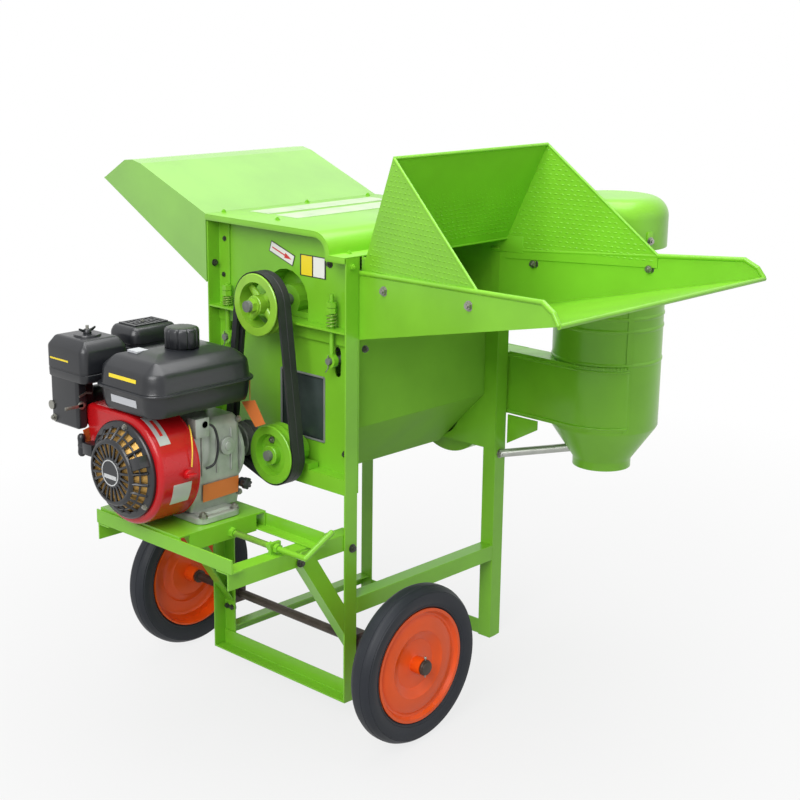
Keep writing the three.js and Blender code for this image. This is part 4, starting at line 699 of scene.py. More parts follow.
# Drum, cradle and bearings. A peg drum turns on cast pillow blocks over a slotted steel cradle.
# The drum and cradle are left grey, the bearings are painted, and the cradle hangs on sprung rods.
cast_iron = finish("grey_casting", tint(120, 124, 118), 0.6, metallic=0.5, mottle=0.2, patch=50, grain=400,
                   relief=0.2)
dress(cast_iron, "drum", "concave", edge=0)
dress(lime_paint, "left_drum_bearing", "right_drum_bearing", "fan_bearing", edge=0)

# Sprung rods. A lime painted rod with an eye and two nuts hangs each corner of the cradle on a coil spring.
# The springs are painted wire, and a wire cotter goes through each eye bar's end.
spring_paint = finish("spring_paint", tint(132, 164, 74), 0.4, metallic=0.4, mottle=0.2, patch=80)
hanger_z = 0.618
rod_radius = 0.004
thread_pitch = 0.0022
thread_height = 0.0005
ridge_share = 0.45
eye_radius = 0.012
eye_bore = 0.0068
eye_half = 0.005
rod_start = 0.009
nut_radius = 0.009
nut_height = 0.009
nut_spacing = 0.0098
nut_gap = 0.0003
wire_radius = 0.0011
coil_radius = 0.0085
coil_turns = 4
coil_steps = 24
for spring_name in ("front_left", "rear_left", "front_right", "rear_right"):
    rod_low, rod_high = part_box(f"{spring_name}_spring_rod")
    spring_low, spring_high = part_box(f"{spring_name}_spring")
    middle = Vector(((rod_low.x + rod_high.x) / 2, (spring_low.y + spring_high.y) / 2, 0))
    eye = Vector((middle.x, middle.y, foot.z + hanger_z))
    tip = Vector((middle.x, middle.y, rod_high.z))
    nut_z = spring_high.z + nut_gap
    bm = bmesh.new()
    bar(bm, eye + UP * rod_start, tip, rod_radius)
    for turn in range(int((tip.z - nut_z) / thread_pitch)):
        ridge = Vector((middle.x, middle.y, nut_z + thread_pitch * turn))
        bar(bm, ridge, ridge + UP * thread_pitch * ridge_share, rod_radius + thread_height)
    tube(bm, eye_bore, eye_radius, -eye_half, eye_half, eye, ACROSS, steps=36)
    for nut_foot in (nut_z, nut_z + nut_spacing):
        nut = Vector((middle.x, middle.y, nut_foot))
        bar(bm, nut, nut + UP * nut_height, nut_radius, sides=6)
    make(f"{spring_name}_hanger_rod", bm, lime_paint, "concave",
         [f"{spring_name}_spring_rod"])
    bm = bmesh.new()
    coil_foot = spring_low.z + wire_radius
    coil_rise = spring_high.z - spring_low.z - 2 * wire_radius
    start = Matrix.Translation(Vector((middle.x + coil_radius, middle.y, coil_foot)))
    ring = bmesh.ops.create_circle(bm, segments=10, radius=wire_radius,
                                   matrix=start @ Matrix.Rotation(pi / 2, 4, "X"))["verts"]
    edges = list({edge for vert in ring for edge in vert.link_edges})
    bmesh.ops.spin(bm, geom=ring + edges, cent=Vector((middle.x, middle.y, 0)), axis=UP,
                   dvec=UP * coil_rise / (coil_turns * coil_steps), angle=2 * pi * coil_turns,
                   steps=coil_turns * coil_steps)
    bmesh.ops.holes_fill(bm, edges=[edge for edge in bm.edges if edge.is_boundary])
    coil = make(f"{spring_name}_coil", bm, spring_paint, "stand", [f"{spring_name}_spring"])
    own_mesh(coil)
cotter_radius = 0.0009
cotter_gap = 0.001
cotter_top, cotter_bend, cotter_tip = UP * 0.011, UP * -0.012, UP * -0.020 + DEPTH * 0.006
bm = bmesh.new()
for hanger_y in (0.049, 0.319):
    for end_x, way in ((-0.0225, -1), (0.3975, 1)):
        place = at(end_x + way * cotter_gap, hanger_y, hanger_z)
        bar(bm, place + cotter_top, place + cotter_bend, cotter_radius, sides=10)
        bar(bm, place + cotter_bend, place + cotter_tip, cotter_radius, sides=10)
make("hanger_cotters", bm, zinc, "concave")

# Pulleys. Cast pulleys with two V grooves, painted lime: the drum's has four spokes, the fan's a plain web.
# A nut and a washer hold the drum's on its shaft, and a small plated cap closes the fan's bore.
pulley_paint = finish("pulley_paint", tint(136, 188, 48), 0.36, mottle=0.12, patch=30, coat=0.3)
pulley_left = foot.x - 0.074
pulley_right = foot.x - 0.040
pulley_middle = (pulley_left + pulley_right) / 2
groove_half = 0.0067
groove_floor = 0.00295
groove_depth = 0.010
groove_pitch = 0.015
drum_centre = at(0, 0.178, 0.704)
fan_y, fan_z = 0.142, 0.442
fan_centre = at(0, fan_y, fan_z)
crank_y, crank_z = 0.232, 0.450
crank_centre = at(0, crank_y, crank_z)
drum_groove, fan_groove, crank_groove = 0.0547, 0.0525, 0.032
rim_edge = 0.0012


def grooved(radius, inside):
    edge = rim_edge
    outline = [(inside, pulley_left), (radius - edge, pulley_left), (radius, pulley_left + edge)]
    for middle in (pulley_middle - groove_pitch / 2, pulley_middle + groove_pitch / 2):
        outline += [(radius, middle - groove_half), (radius - groove_depth, middle - groove_floor),
                    (radius - groove_depth, middle + groove_floor), (radius, middle + groove_half)]
    return outline + [(radius, pulley_right - edge), (radius - edge, pulley_right), (inside, pulley_right),
                      (inside, pulley_left)]


def flat_centre(centre):
    return Vector((0, centre.y, centre.z))


hub = 0.017
hub_edge = 0.001
hub_left = pulley_left - 0.002
drum_bore, fan_bore = 0.0103, 0.0093
rim_wall = 0.015
rim_inside = drum_groove - rim_wall
spoke_count = 4
spoke_overlap = 0.002
spoke_root, spoke_tip = 0.0085, 0.0065
spoke_flatness = 0.6
bm = bmesh.new()
spun(bm, grooved(drum_groove, rim_inside), flat_centre(drum_centre), ACROSS, steps=96)
spun(bm, [(drum_bore, hub_left), (hub - hub_edge, hub_left), (hub, hub_left + hub_edge), (hub, pulley_right),
          (drum_bore, pulley_right), (drum_bore, hub_left)], flat_centre(drum_centre), ACROSS)
for spoke in range(spoke_count):
    angle = radians(45 + 360 * spoke / spoke_count)
    outward = Vector((0, cos(angle), sin(angle)))
    middle = Vector((pulley_middle, drum_centre.y, drum_centre.z))
    arm = bar(bm, middle + outward * (hub - spoke_overlap), middle + outward * (rim_inside + spoke_overlap),
              spoke_root, end_radius=spoke_tip)
    bmesh.ops.scale(bm, vec=(spoke_flatness, 1, 1), verts=arm, space=Matrix.Translation(-middle))
make("drum_pulley_casting", bm, pulley_paint, "drum", ["drum_pulley"])
shaft_washer, shaft_washer_radius = 0.0025, 0.0152
shaft_nut, shaft_nut_radius = 0.0112, 0.0125
bm = bmesh.new()
shaft_end = Vector((hub_left, drum_centre.y, drum_centre.z))
bar(bm, shaft_end, shaft_end - ACROSS * shaft_washer, shaft_washer_radius, sides=36)
bar(bm, shaft_end, shaft_end - ACROSS * shaft_nut, shaft_nut_radius, sides=6)
make("drum_pulley_nut", bm, pulley_paint, "drum")

fan_inside = fan_groove - rim_wall
web_outer, web_inner, web_right = pulley_middle - 0.005, pulley_middle - 0.007, pulley_middle + 0.005
web_root = 0.026
dish = [(fan_inside, pulley_left), (fan_inside - 0.003, web_outer), (web_root, web_inner), (hub, web_inner),
        (hub, hub_left + hub_edge), (hub - hub_edge, hub_left), (fan_bore, hub_left),
        (fan_bore, pulley_right), (hub, pulley_right), (hub, web_right), (fan_inside, web_right)]
bm = bmesh.new()
spun(bm, grooved(fan_groove, fan_inside)[:-2] + dish[::-1], flat_centre(fan_centre), ACROSS, steps=96)
make("fan_pulley_casting", bm, lime_paint, "fan", ["fan_pulley"])
fan_cap, fan_cap_radius = 0.003, 0.008
web_screw = Vector((0.0105, 0.004, 0.0255))
web_screw_size = 0.0045
bm = bmesh.new()
fan_end = Vector((hub_left, fan_centre.y, fan_centre.z))
bar(bm, fan_end, fan_end - ACROSS * fan_cap, fan_cap_radius)
bolt(bm, fan_end + web_screw, -ACROSS, web_screw_size)
make("fan_pulley_screw", bm, zinc, "fan")

# Belt. A joined pair of black V belts runs round the drum, fan and engine pulleys.
# A shallow split shows down its outside, and its ribs fill the grooves.
belt_rubber = finish("belt_rubber", tint(34, 36, 38), 0.55, mottle=0.12, patch=30)
belt_top = 0.003
belt_foot = 0.005
belt_half_top = 0.0065
belt_half_foot = 0.0035
belt_bridge = 0.001
bridge_rise = 0.0017
belt_split = 0.0007
section = [(-groove_pitch / 2 - belt_half_top, belt_top), (-belt_split, belt_top), (0, belt_top - belt_split),
           (belt_split, belt_top), (groove_pitch / 2 + belt_half_top, belt_top),
           (groove_pitch / 2 + belt_half_foot, -belt_foot), (groove_pitch / 2 - belt_half_foot, -belt_foot),
           (belt_bridge, bridge_rise), (-belt_bridge, bridge_rise),
           (-groove_pitch / 2 + belt_half_foot, -belt_foot), (-groove_pitch / 2 - belt_half_foot, -belt_foot)]
stops = [(fan_centre, fan_groove), (crank_centre, crank_groove), (drum_centre, drum_groove)]
tangents = []
for index, (centre, radius) in enumerate(stops):
    following, following_radius = stops[(index + 1) % len(stops)]
    reach = following - centre
    tangents.append(atan2(reach.z, reach.y) - acos((radius - following_radius) / hypot(reach.y, reach.z)))
bm = bmesh.new()
ring = []
for index, (centre, radius) in enumerate(stops):
    arrive = tangents[index - 1]
    leave = tangents[index]
    while leave < arrive:
        leave += 2 * pi
    outward = Vector((0, cos(arrive), sin(arrive)))
    landing = [Vector((pulley_middle + along, centre.y, centre.z)) + outward * (radius + rise)
               for along, rise in section]
    if ring:
        edges = list({edge for vert in ring for edge in vert.link_edges if edge.other_vert(vert) in ring})
        grown = bmesh.ops.extrude_edge_only(bm, edges=edges)["geom"]
        ring = [item for item in grown if isinstance(item, bmesh.types.BMVert)]
        bmesh.ops.translate(bm, vec=landing[0] - start_point, verts=ring)
        for vert in ring:
            vert.co = min(landing, key=lambda point: (point - vert.co).length)
    else:
        ring = [bm.verts.new(point) for point in landing]
        for pair in zip(ring, ring[1:] + ring[:1]):
            bm.edges.new(pair)
    edges = list({edge for vert in ring for edge in vert.link_edges if edge.other_vert(vert) in ring})
    turned = bmesh.ops.spin(bm, geom=ring + edges, cent=centre, axis=ACROSS, angle=leave - arrive, steps=40)
    ring = [item for item in turned["geom_last"] if isinstance(item, bmesh.types.BMVert)]
    outward = Vector((0, cos(leave), sin(leave)))
    along, rise = section[0]
    start_point = Vector((pulley_middle + along, centre.y, centre.z)) + outward * (radius + rise)
bmesh.ops.bridge_loops(bm, edges=[edge for edge in bm.edges if edge.is_boundary])
make("joined_belts", bm, belt_rubber, "stand", ["drive_belt"], smooth=30)

# Fan housing. A scroll of sheet steel with flat sides, a suction collar and an outer bearing boss.
# Its rim is a rolled band, and the sides stand a little proud of it where they are welded on.
scroll_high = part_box("fan_housing")[1]
scroll_left = foot.x + 0.408
scroll_right = foot.x + 0.468
scroll_small, scroll_large = 0.086, 0.132
scroll_power = 1.8
scroll_steps = 60
scroll_arc = scroll_steps + 2
mouth_foot = 0.455
mouth_top = fan_z + scroll_large


def scroll_line(offset):
    points = []
    for step in range(scroll_steps + 1):
        share = step / scroll_steps
        radius = scroll_small + (scroll_large - scroll_small) * share ** scroll_power - offset
        angle = radians(180 + 270 * share)
        points.append(fan_centre + radius * Vector((0, cos(angle), sin(angle))))
    return points + [at(0, 0, mouth_top - offset), at(0, 0, mouth_foot + offset),
                     at(0, fan_y - scroll_small + offset, mouth_foot + offset)]


scroll_wall = 0.002
weld_lip = 0.0004
band_left, band_right = scroll_left + weld_lip, scroll_right - weld_lip
collar_left = foot.x + 0.375
collar_radius, collar_bore = 0.050, 0.048
boss_left = scroll_right - 0.001
boss_radius, boss_bore = 0.026, 0.0096
boss_edge = 0.002
bm = bmesh.new()
rim = scroll_line(0)
for start, end in ((scroll_left, scroll_left + scroll_wall), (scroll_right - scroll_wall, scroll_right)):
    plate(bm, [Vector((start, point.y, point.z)) for point in rim], ACROSS * (end - start))
hoop = scroll_line(weld_lip)[:scroll_arc] + scroll_line(weld_lip + scroll_wall)[:scroll_arc][::-1]
plate(bm, [Vector((band_left, point.y, point.z)) for point in hoop], ACROSS * (band_right - band_left))
block(bm, Vector((band_left, rim[-2].y, rim[-2].z)), Vector((band_right, rim[-1].y, rim[-1].z + scroll_wall)))
tube(bm, collar_bore, collar_radius, collar_left, scroll_left, flat_centre(fan_centre), ACROSS)
spun(bm, [(boss_bore, boss_left), (boss_radius, boss_left), (boss_radius, scroll_high.x - boss_edge),
          (boss_radius - boss_edge, scroll_high.x), (boss_bore, scroll_high.x), (boss_bore, boss_left)],
     flat_centre(fan_centre), ACROSS)
make("fan_scroll", bm, lime_paint, "stand", ["fan_housing"], smooth=30)
dress(cast_iron, "fan_impeller", edge=0)

# Cyclone. A rolled cylinder with pressed beads, a cone, a spigot and an outlet pipe of sheet steel.
# An upright seam closes it, and a curved duct with a crimped upper edge feeds it.
# A plated bar from the front right leg steadies its cone.
cyclone_x, cyclone_y = 0.512, -0.150
cyclone_centre = at(cyclone_x, cyclone_y, 0)
cyclone_axis = Vector((cyclone_centre.x, cyclone_centre.y, 0))
drum_wall = 0.002
cylinder = 0.102
pipe = 0.078
spigot = 0.055


def height(z):
    return foot.z + z


bead_half = 0.004
bead_out = 0.0016
bead_shares = [(1, 0), (0.5, 0.8), (0, 1), (-0.5, 0.8), (-1, 0)]
pipe_top = height(0.800)
lid_top, lid_under = height(0.752), height(0.750)
lid_round = 0.003
cone_top = height(0.450)
spigot_foot = height(0.365)
outside = [(pipe - drum_wall, pipe_top), (pipe, pipe_top), (pipe, height(0.754)), (pipe + lid_round, lid_top),
           (cylinder - lid_round, lid_top), (cylinder, height(0.749))]
for bead in (0.665, 0.642, 0.579):
    outside += [(cylinder + bead_out * out, height(bead + bead_half * up)) for up, out in bead_shares]
outside += [(cylinder, cone_top), (cylinder - 0.002, height(0.446)), (spigot + 0.001, height(0.382)),
            (spigot, height(0.378)), (spigot, spigot_foot), (spigot - drum_wall, spigot_foot),
            (spigot - drum_wall, height(0.381)), (cylinder - drum_wall, height(0.449)),
            (cylinder - drum_wall, lid_under), (pipe - drum_wall, lid_under), (pipe - drum_wall, pipe_top)]
bm = bmesh.new()
spun(bm, outside, cyclone_axis, UP, steps=120)
seam_way = Vector((-0.517, -0.856, 0))
seam_across = Vector((0.856, -0.517, 0))
seam_half = 0.006
seam_rise = 0.0007
seam = cyclone_axis + seam_way * (cylinder + 0.0004)
seam_spots = rectangle(-seam_half, 0.452, seam_half, 0.748)
plate(bm, [seam + seam_across * along + UP * height(up) for along, up in seam_spots], seam_way * seam_rise)
make("cyclone_shell", bm, lime_paint, "stand", ["cyclone_body"], smooth=30)

wrap_radius = 0.105
duct_left, duct_right = 0.408, 0.468
wrap_end = 239
wrap_steps, return_steps = 16, 24
duct_foot, duct_top = mouth_foot, mouth_top
duct_end_y = -0.0003
inner_radius = cylinder - 0.001
meet = 180 - acos((cyclone_x - duct_right) / cylinder) * 180 / pi
plan = [at(duct_left, duct_end_y, duct_foot)]
for step in range(wrap_steps + 1):
    angle = radians(180 + (wrap_end - 180) * step / wrap_steps)
    plan.append(cyclone_centre + Vector((wrap_radius * cos(angle), wrap_radius * sin(angle), duct_foot)))
for step in range(return_steps + 1):
    angle = radians(wrap_end + (meet - wrap_end) * step / return_steps)
    plan.append(cyclone_centre + Vector((inner_radius * cos(angle), inner_radius * sin(angle), duct_foot)))
plan.append(at(duct_right, duct_end_y, duct_foot))
outer_wall = plan[:wrap_steps + 2]
bm = bmesh.new()
plate(bm, plan, UP * (duct_top - duct_foot))
soften(bm, 0.0012, angle=50)
make("inlet_duct", bm, lime_paint, "stand", smooth=30)
duct_bead_inset, duct_bead_radius = 0.006, 0.0022
bm = bmesh.new()
for edge_z in (duct_foot + duct_bead_inset, duct_top - duct_bead_inset):
    for start, end in zip(outer_wall, outer_wall[1:]):
        lift = UP * (edge_z - duct_foot)
        bar(bm, start + lift, end + lift, duct_bead_radius, sides=10)
make("duct_beads", bm, lime_paint, "stand", smooth=50)
lip_rise, lip_thick, lip_sink = 0.0032, 0.0014, 0.0006
crimp_radius, crimp_half, crimp_out = 0.0012, 0.0014, 0.0008
lip_line = [point + UP * (duct_top - duct_foot - lip_sink) for point in outer_wall]
inward = [(cyclone_centre - point) * Vector((1, 1, 0)) for point in lip_line]
inward = [way.normalized() for way in inward]
bm = bmesh.new()
plate(bm, lip_line + [point + way * lip_thick for point, way in zip(lip_line, inward)][::-1], UP * lip_rise)
for start, end, way in zip(lip_line, lip_line[1:], inward):
    crimp = (start + end) / 2 - way * crimp_out + UP * lip_rise / 2
    bar(bm, crimp - UP * crimp_half, crimp + UP * crimp_half, crimp_radius, sides=10)
make("duct_lip", bm, lime_paint, "stand")

bar_silver = finish("silver_bar", tint(176, 178, 172), 0.4, metallic=0.8, mottle=0.12, patch=60)
support_radius = 0.008
support_x, support_z = 0.389, 0.378
support_rise = 0.0245
support_short = 0.060
support_bolt = 0.007
bar_start = at(support_x, duct_end_y, support_z)
bar_end = cyclone_centre + UP * (support_z + support_rise)
reach = (bar_end - bar_start).normalized()
bm = bmesh.new()
bar(bm, bar_start, bar_end - reach * support_short, support_radius, sides=28)
make("support_bar", bm, bar_silver, "stand")
bm = bmesh.new()
bolt(bm, bar_start, -DEPTH, support_bolt)
make("support_bolt", bm, zinc, "stand")
bracket_x = 0.404
bracket_wall = 0.003
bracket_line = [(-0.004, 0.396), (-0.075, 0.436), (-0.075, 0.4535), (-0.004, 0.4535)]
bm = bmesh.new()
plate(bm, [at(bracket_x, y, z) for y, z in bracket_line], ACROSS * bracket_wall)
soften(bm, 0.0005)
make("duct_bracket", bm, lime_paint, "stand")

# Elbow hood. A round sheet steel cowl with a domed edge turns on the outlet pipe and blows to the straw side.
# A short strap with a bolt clamps it.
elbow_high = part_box("elbow_hood")[1]
spout_middle = cyclone_axis.x + 0.008
cowl_foot = height(0.788)
cowl_top = elbow_high.z - 0.004
elbow_round = 0.036
cowl_radius = 0.100
collar = pipe + 0.001
dome_steps = 14
dome = [(0, cowl_top)]
for step in range(dome_steps + 1):
    angle = radians(90 - 90 * step / dome_steps)
    dome.append((cowl_radius - elbow_round + elbow_round * cos(angle),
                 cowl_top - elbow_round + elbow_round * sin(angle)))
dome += [(cowl_radius, cowl_foot), (collar, cowl_foot), (collar, cowl_foot + drum_wall),
         (cowl_radius - drum_wall, cowl_foot + drum_wall),
         (cowl_radius - drum_wall, cowl_top - elbow_round), (cowl_radius - elbow_round, cowl_top - drum_wall),
         (0, cowl_top - drum_wall)]
bm = bmesh.new()
spun(bm, dome, cyclone_axis, UP, steps=120)
spout_half = 0.060
spout_wall = 0.002
spout_top = elbow_high.z - elbow_round / 2
spout_foot = spout_top - 0.066
spout_start = cyclone_axis.y + cowl_radius * 0.62
for low, high in [((-spout_half, spout_foot), (spout_wall - spout_half, spout_top)),
                  ((spout_half - spout_wall, spout_foot), (spout_half, spout_top)),
                  ((-spout_half, spout_foot), (spout_half, spout_foot + spout_wall)),
                  ((-spout_half, spout_top - spout_wall), (spout_half, spout_top))]:
    block(bm, Vector((spout_middle + low[0], spout_start, low[1])),
          Vector((spout_middle + high[0], elbow_high.y, high[1])))
make("cowl", bm, lime_paint, "elbow", ["elbow_hood"], smooth=30)
strap_way = Vector((-0.242, -0.970, 0)).normalized()
strap_across = Vector((0.970, -0.242, 0)).normalized()
strap_half = 0.007
strap_wall = 0.003
strap_foot, strap_bolt_z, strap_top = 0.789, 0.806, 0.822
strap_bolt = 0.0055
strap = cyclone_axis + strap_way * (cowl_radius - 0.0005)
strap_spots = rectangle(-strap_half, strap_foot, strap_half, strap_top)
strap_line = [strap + strap_across * along + UP * height(up) for along, up in strap_spots]
bm = bmesh.new()
plate(bm, strap_line, strap_way * strap_wall)
soften(bm, 0.0006)
make("cowl_strap", bm, lime_paint, "elbow")
bm = bmesh.new()
bolt(bm, strap + strap_way * strap_wall + UP * height(strap_bolt_z), strap_way, strap_bolt)
make("cowl_bolt", bm, zinc, "elbow")

# Sliding base. A lime painted plate of folded steel carries the engine, and the tension screw moves it.
# The screw turns in the front arm's guide between two nuts, and its end is bent to a handle.
dress(lime_paint, "slide_base", edge=0.0008)
screw_x, screw_z = -0.174, 0.328
screw_rear, screw_front = 0.160, -0.053
handle_reach, handle_rise = 0.059, 0.030
screw_radius = 0.005
guide_nut_radius = 0.0087
thread_rear = 0.040
thread_turns = 36
bend = at(screw_x, screw_front, screw_z)
handle_end = at(screw_x + handle_reach, screw_front, screw_z + handle_rise)
bm = bmesh.new()
bar(bm, at(screw_x, screw_rear, screw_z), bend, screw_radius)
bar(bm, bend, handle_end, screw_radius)
for place in (bend, handle_end):
    ball(bm, place, screw_radius, around=24, up=12)
for nut_front, nut_rear in ((0.0105, 0.018), (0.026, 0.033)):
    bar(bm, at(screw_x, nut_front, screw_z), at(screw_x, nut_rear, screw_z), guide_nut_radius, sides=6)
make("tension_rod", bm, lime_paint, "screw", ["tension_screw"])
bm = bmesh.new()
for turn in range(thread_turns):
    ridge = at(screw_x, thread_rear + thread_pitch * turn, screw_z)
    bar(bm, ridge, ridge + DEPTH * thread_pitch * ridge_share, screw_radius + thread_height)
make("tension_thread", bm, spring_paint, "screw")

# Engine block. A die-cast crankcase and finned barrel of grey-green alloy stand on a cast foot.
# Cap screws hold the side cover on, and plated bolts hold the foot to the sliding base.
alloy = finish("engine_alloy", tint(166, 172, 164), 0.42, metallic=0.35, mottle=0.16, patch=45, grain=500,
               relief=0.1)
least_corner = 0.002


def rounded(low, high, corner, inset, z, steps=8):
    corner = corner - inset if corner > inset + least_corner else least_corner
    points = []
    spots = [(high.x - inset, high.y - inset), (low.x + inset, high.y - inset),
             (low.x + inset, low.y + inset), (high.x - inset, low.y + inset)]
    for quarter, (x, y) in enumerate(spots):
        centre_x = x - corner if quarter in (0, 3) else x + corner
        centre_y = y - corner if quarter in (0, 1) else y + corner
        for step in range(steps + 1):
            angle = radians(90 * (quarter + step / steps))
            points.append(Vector((centre_x + corner * cos(angle), centre_y + corner * sin(angle), z)))
    return points


def levels(low, high, corner, rings, steps=8):
    return [rounded(low, high, corner, inset, height(z), steps) for inset, z in rings]


def lofted(bm, rings):
    loops = []
    for ring in rings:
        verts = [bm.verts.new(point) for point in ring]
        loops.append((verts, [bm.edges.new(pair) for pair in zip(verts, verts[1:] + verts[:1])]))
    for (_, lower), (_, upper) in zip(loops, loops[1:]):
        bmesh.ops.bridge_loops(bm, edges=lower + upper)
    bm.faces.new(loops[0][0])
    bm.faces.new(loops[-1][0])


flange_top = 0.3605
foot_rings = [(0.0015, 0.3484), (0, 0.350), (0, 0.3585), (0.002, flange_top), (0.012, flange_top),
              (0.014, 0.3645)]
case_face = 0.170
case_rings = [(0.004, 0.362), (0.002, 0.372), (0, 0.385), (0, 0.430), (0, 0.505), (0.004, 0.516),
              (0.010, 0.522)]
barrel_low, barrel_high = at(-0.218, 0.236, 0), at(-0.130, 0.380, 0)
barrel_rings = [(0.004, 0.440), (0, 0.446), (0, 0.540), (0.004, 0.5465)]
head_rings = [(0, 0.520), (0, 0.572), (0.002, 0.5745)]
bearing_bore = 0.0125
cover_radius = 0.066
left_cover_low, left_cover_high = -0.2358, -0.229
right_cover_low, right_cover_high = -0.118, -0.105
left_cover = rectangle(bearing_bore, left_cover_low, cover_radius, left_cover_high)
right_cover = [(bearing_bore, right_cover_low), (cover_radius, right_cover_low), (cover_radius, -0.112),
               (0.064, -0.110), (0.046, -0.108), (0.034, -0.108), (0.032, right_cover_high),
               (bearing_bore, right_cover_high)]
fin_count = 9
fin_first, fin_span = 0.304, 0.078
fin_half = 0.0011
flat_crank = flat_centre(crank_centre)


def ring_profile(bm, points, steps=96):
    spun(bm, [(radius, foot.x + x) for radius, x in points + points[:1]], flat_crank, ACROSS, steps)


bm = bmesh.new()
lofted(bm, levels(at(-0.231, 0.144, 0), at(-0.137, 0.320, 0), 0.016, foot_rings))
lofted(bm, levels(at(-0.228, case_face, 0), at(-0.116, 0.302, 0), 0.012, case_rings))
ring_profile(bm, left_cover)
ring_profile(bm, right_cover)
lofted(bm, levels(barrel_low, barrel_high, 0.012, barrel_rings))
lofted(bm, levels(at(-0.218, 0.318, 0), barrel_high, 0.010, head_rings))
for fin in range(fin_count):
    fin_y = fin_first + fin_span * fin / (fin_count - 1)
    block(bm, at(-0.2262, fin_y - fin_half, 0.432), at(-0.123, fin_y + fin_half, 0.538))
make("crankcase", bm, alloy, "engine", ["engine_block"], smooth=35)
cover_bolts, cover_bolt_circle, cover_bolt_x = 7, 0.0575, -0.1105
case_bolt, foot_bolt = 0.0045, 0.0065
bm = bmesh.new()
for spoke in range(cover_bolts):
    angle = radians(20 + 360 * spoke / cover_bolts)
    around = Vector((cover_bolt_x, cover_bolt_circle * cos(angle), cover_bolt_circle * sin(angle)))
    bolt(bm, crank_centre + around, ACROSS, case_bolt)
for bolt_x in (-0.219, -0.149):
    for bolt_y in (0.152, 0.311):
        bolt(bm, at(bolt_x, bolt_y, flange_top), UP, foot_bolt)
for bolt_x, bolt_z in [(-0.2215, 0.512), (-0.1225, 0.512), (-0.1225, 0.380)]:
    bolt(bm, at(bolt_x, case_face, bolt_z), -DEPTH, case_bolt)
make("engine_bolts", bm, zinc, "engine")
rib_half = 0.0015
boss_x, boss_z = -0.150, 0.470
bm = bmesh.new()
for rib_x in (-0.205, -0.172, -0.140):
    block(bm, at(rib_x - rib_half, 0.1672, 0.425), at(rib_x + rib_half, 0.1705, 0.500))
bar(bm, at(boss_x, 0.171, boss_z), at(boss_x, 0.164, boss_z), 0.016, sides=48)
bar(bm, at(boss_x, 0.165, boss_z), at(boss_x, 0.1625, boss_z), 0.008, sides=36)
block(bm, at(-0.226, 0.158, 0.498), at(-0.196, 0.180, 0.532))
soften(bm, 0.0012, segments=3)
make("casting_details", bm, alloy, "engine", smooth=35)

# Oil plug, tags and leads. A black plug closes the crankcase, and an orange tag hangs beside it.
# The oil sensor's black lead and the switch's yellow lead are clipped on. A tag hangs from the tank's seam.
satin_black = finish("satin_black", tint(24, 26, 30), 0.34, mottle=0.1, patch=30, coat=0.1)
tag_orange = finish("tag_orange", tint(206, 112, 48), 0.5, mottle=0.06)
wire_yellow = finish("wire_yellow", tint(226, 190, 60), 0.45, mottle=0.05)
plug_x, plug_z = -0.1165, 0.3965
plug_grip_y = 0.160
plug_collar, plug_grip = 0.0085, 0.008
plug_lobes = 8
lobe_radius, lobe_length = 0.0028, 0.006
bm = bmesh.new()
bar(bm, at(plug_x, 0.172, plug_z), at(plug_x, plug_grip_y, plug_z), plug_collar, sides=36)
for lobe in range(plug_lobes):
    angle = radians(360 * lobe / plug_lobes)
    middle = at(plug_x + plug_grip * cos(angle), plug_grip_y, plug_z + plug_grip * sin(angle))
    bar(bm, middle, middle - DEPTH * lobe_length, lobe_radius, sides=12)
bar(bm, at(plug_x, 0.161, plug_z), at(plug_x, 0.1535, plug_z), plug_grip, sides=36)
soften(bm, 0.0006)
make("oil_plug", bm, satin_black, "engine")
tag_thick = 0.0012
tag_y = 0.1675
oil_tag_line = [(-0.2065, 0.380), (-0.128, 0.382), (-0.126, 0.411), (-0.2055, 0.4105)]
bm = bmesh.new()
plate(bm, [at(x, tag_y, z) for x, z in oil_tag_line], -DEPTH * tag_thick)
make("oil_tag", bm, tag_orange, "engine")

lead_steps = 8
lead_sides = 12


def lead(bm, points, radius):
    route = []
    for before, start, end, after in zip([points[0]] + points, points, points[1:], points[2:] + points[-1:]):
        slope_part = end - before
        bend_part = 2 * before - 5 * start + 4 * end - after
        twist_part = 3 * start - before - 3 * end + after
        for step in range(lead_steps):
            t = step / lead_steps
            route.append(0.5 * (2 * start + slope_part * t + bend_part * t ** 2 + twist_part * t ** 3))
    route.append(points[-1])
    rings = []
    for index, spot in enumerate(route):
        along = (route[min(index + 1, len(route) - 1)] - route[max(index - 1, 0)]).normalized()
        outward = along.cross(DEPTH).normalized()
        upward = along.cross(outward)
        turns = [2 * pi * side / lead_sides for side in range(lead_sides)]
        rings.append([spot + radius * (outward * cos(turn) + upward * sin(turn)) for turn in turns])
    lofted(bm, rings)


sensor_wire, switch_wire, tag_wire = 0.0022, 0.0012, 0.0009
grommet_radius = 0.006
sensor_route = [at(-0.206, 0.166, 0.520), at(-0.186, 0.160, 0.512), at(-0.178, 0.158, 0.480),
                at(-0.184, 0.160, 0.448), at(-0.200, 0.165, 0.440)]
switch_route = [at(-0.234, 0.166, 0.523), at(-0.246, 0.146, 0.514), at(-0.252, 0.136, 0.490),
                at(-0.256, 0.1335, 0.462)]
tank_tag_line = [at(-0.112, 0.172, 0.540), at(-0.104, 0.148, 0.546), at(-0.098, 0.128, 0.506),
                 at(-0.104, 0.146, 0.498)]
choke_tag_line = [at(-0.331, 0.330, 0.500), at(-0.312, 0.333, 0.503), at(-0.298, 0.345, 0.452),
                  at(-0.310, 0.348, 0.448)]
bm = bmesh.new()
lead(bm, sensor_route, sensor_wire)
bar(bm, at(-0.206, 0.168, 0.520), at(-0.206, 0.158, 0.520), grommet_radius)
make("sensor_lead", bm, satin_black, "engine", smooth=50)
bm = bmesh.new()
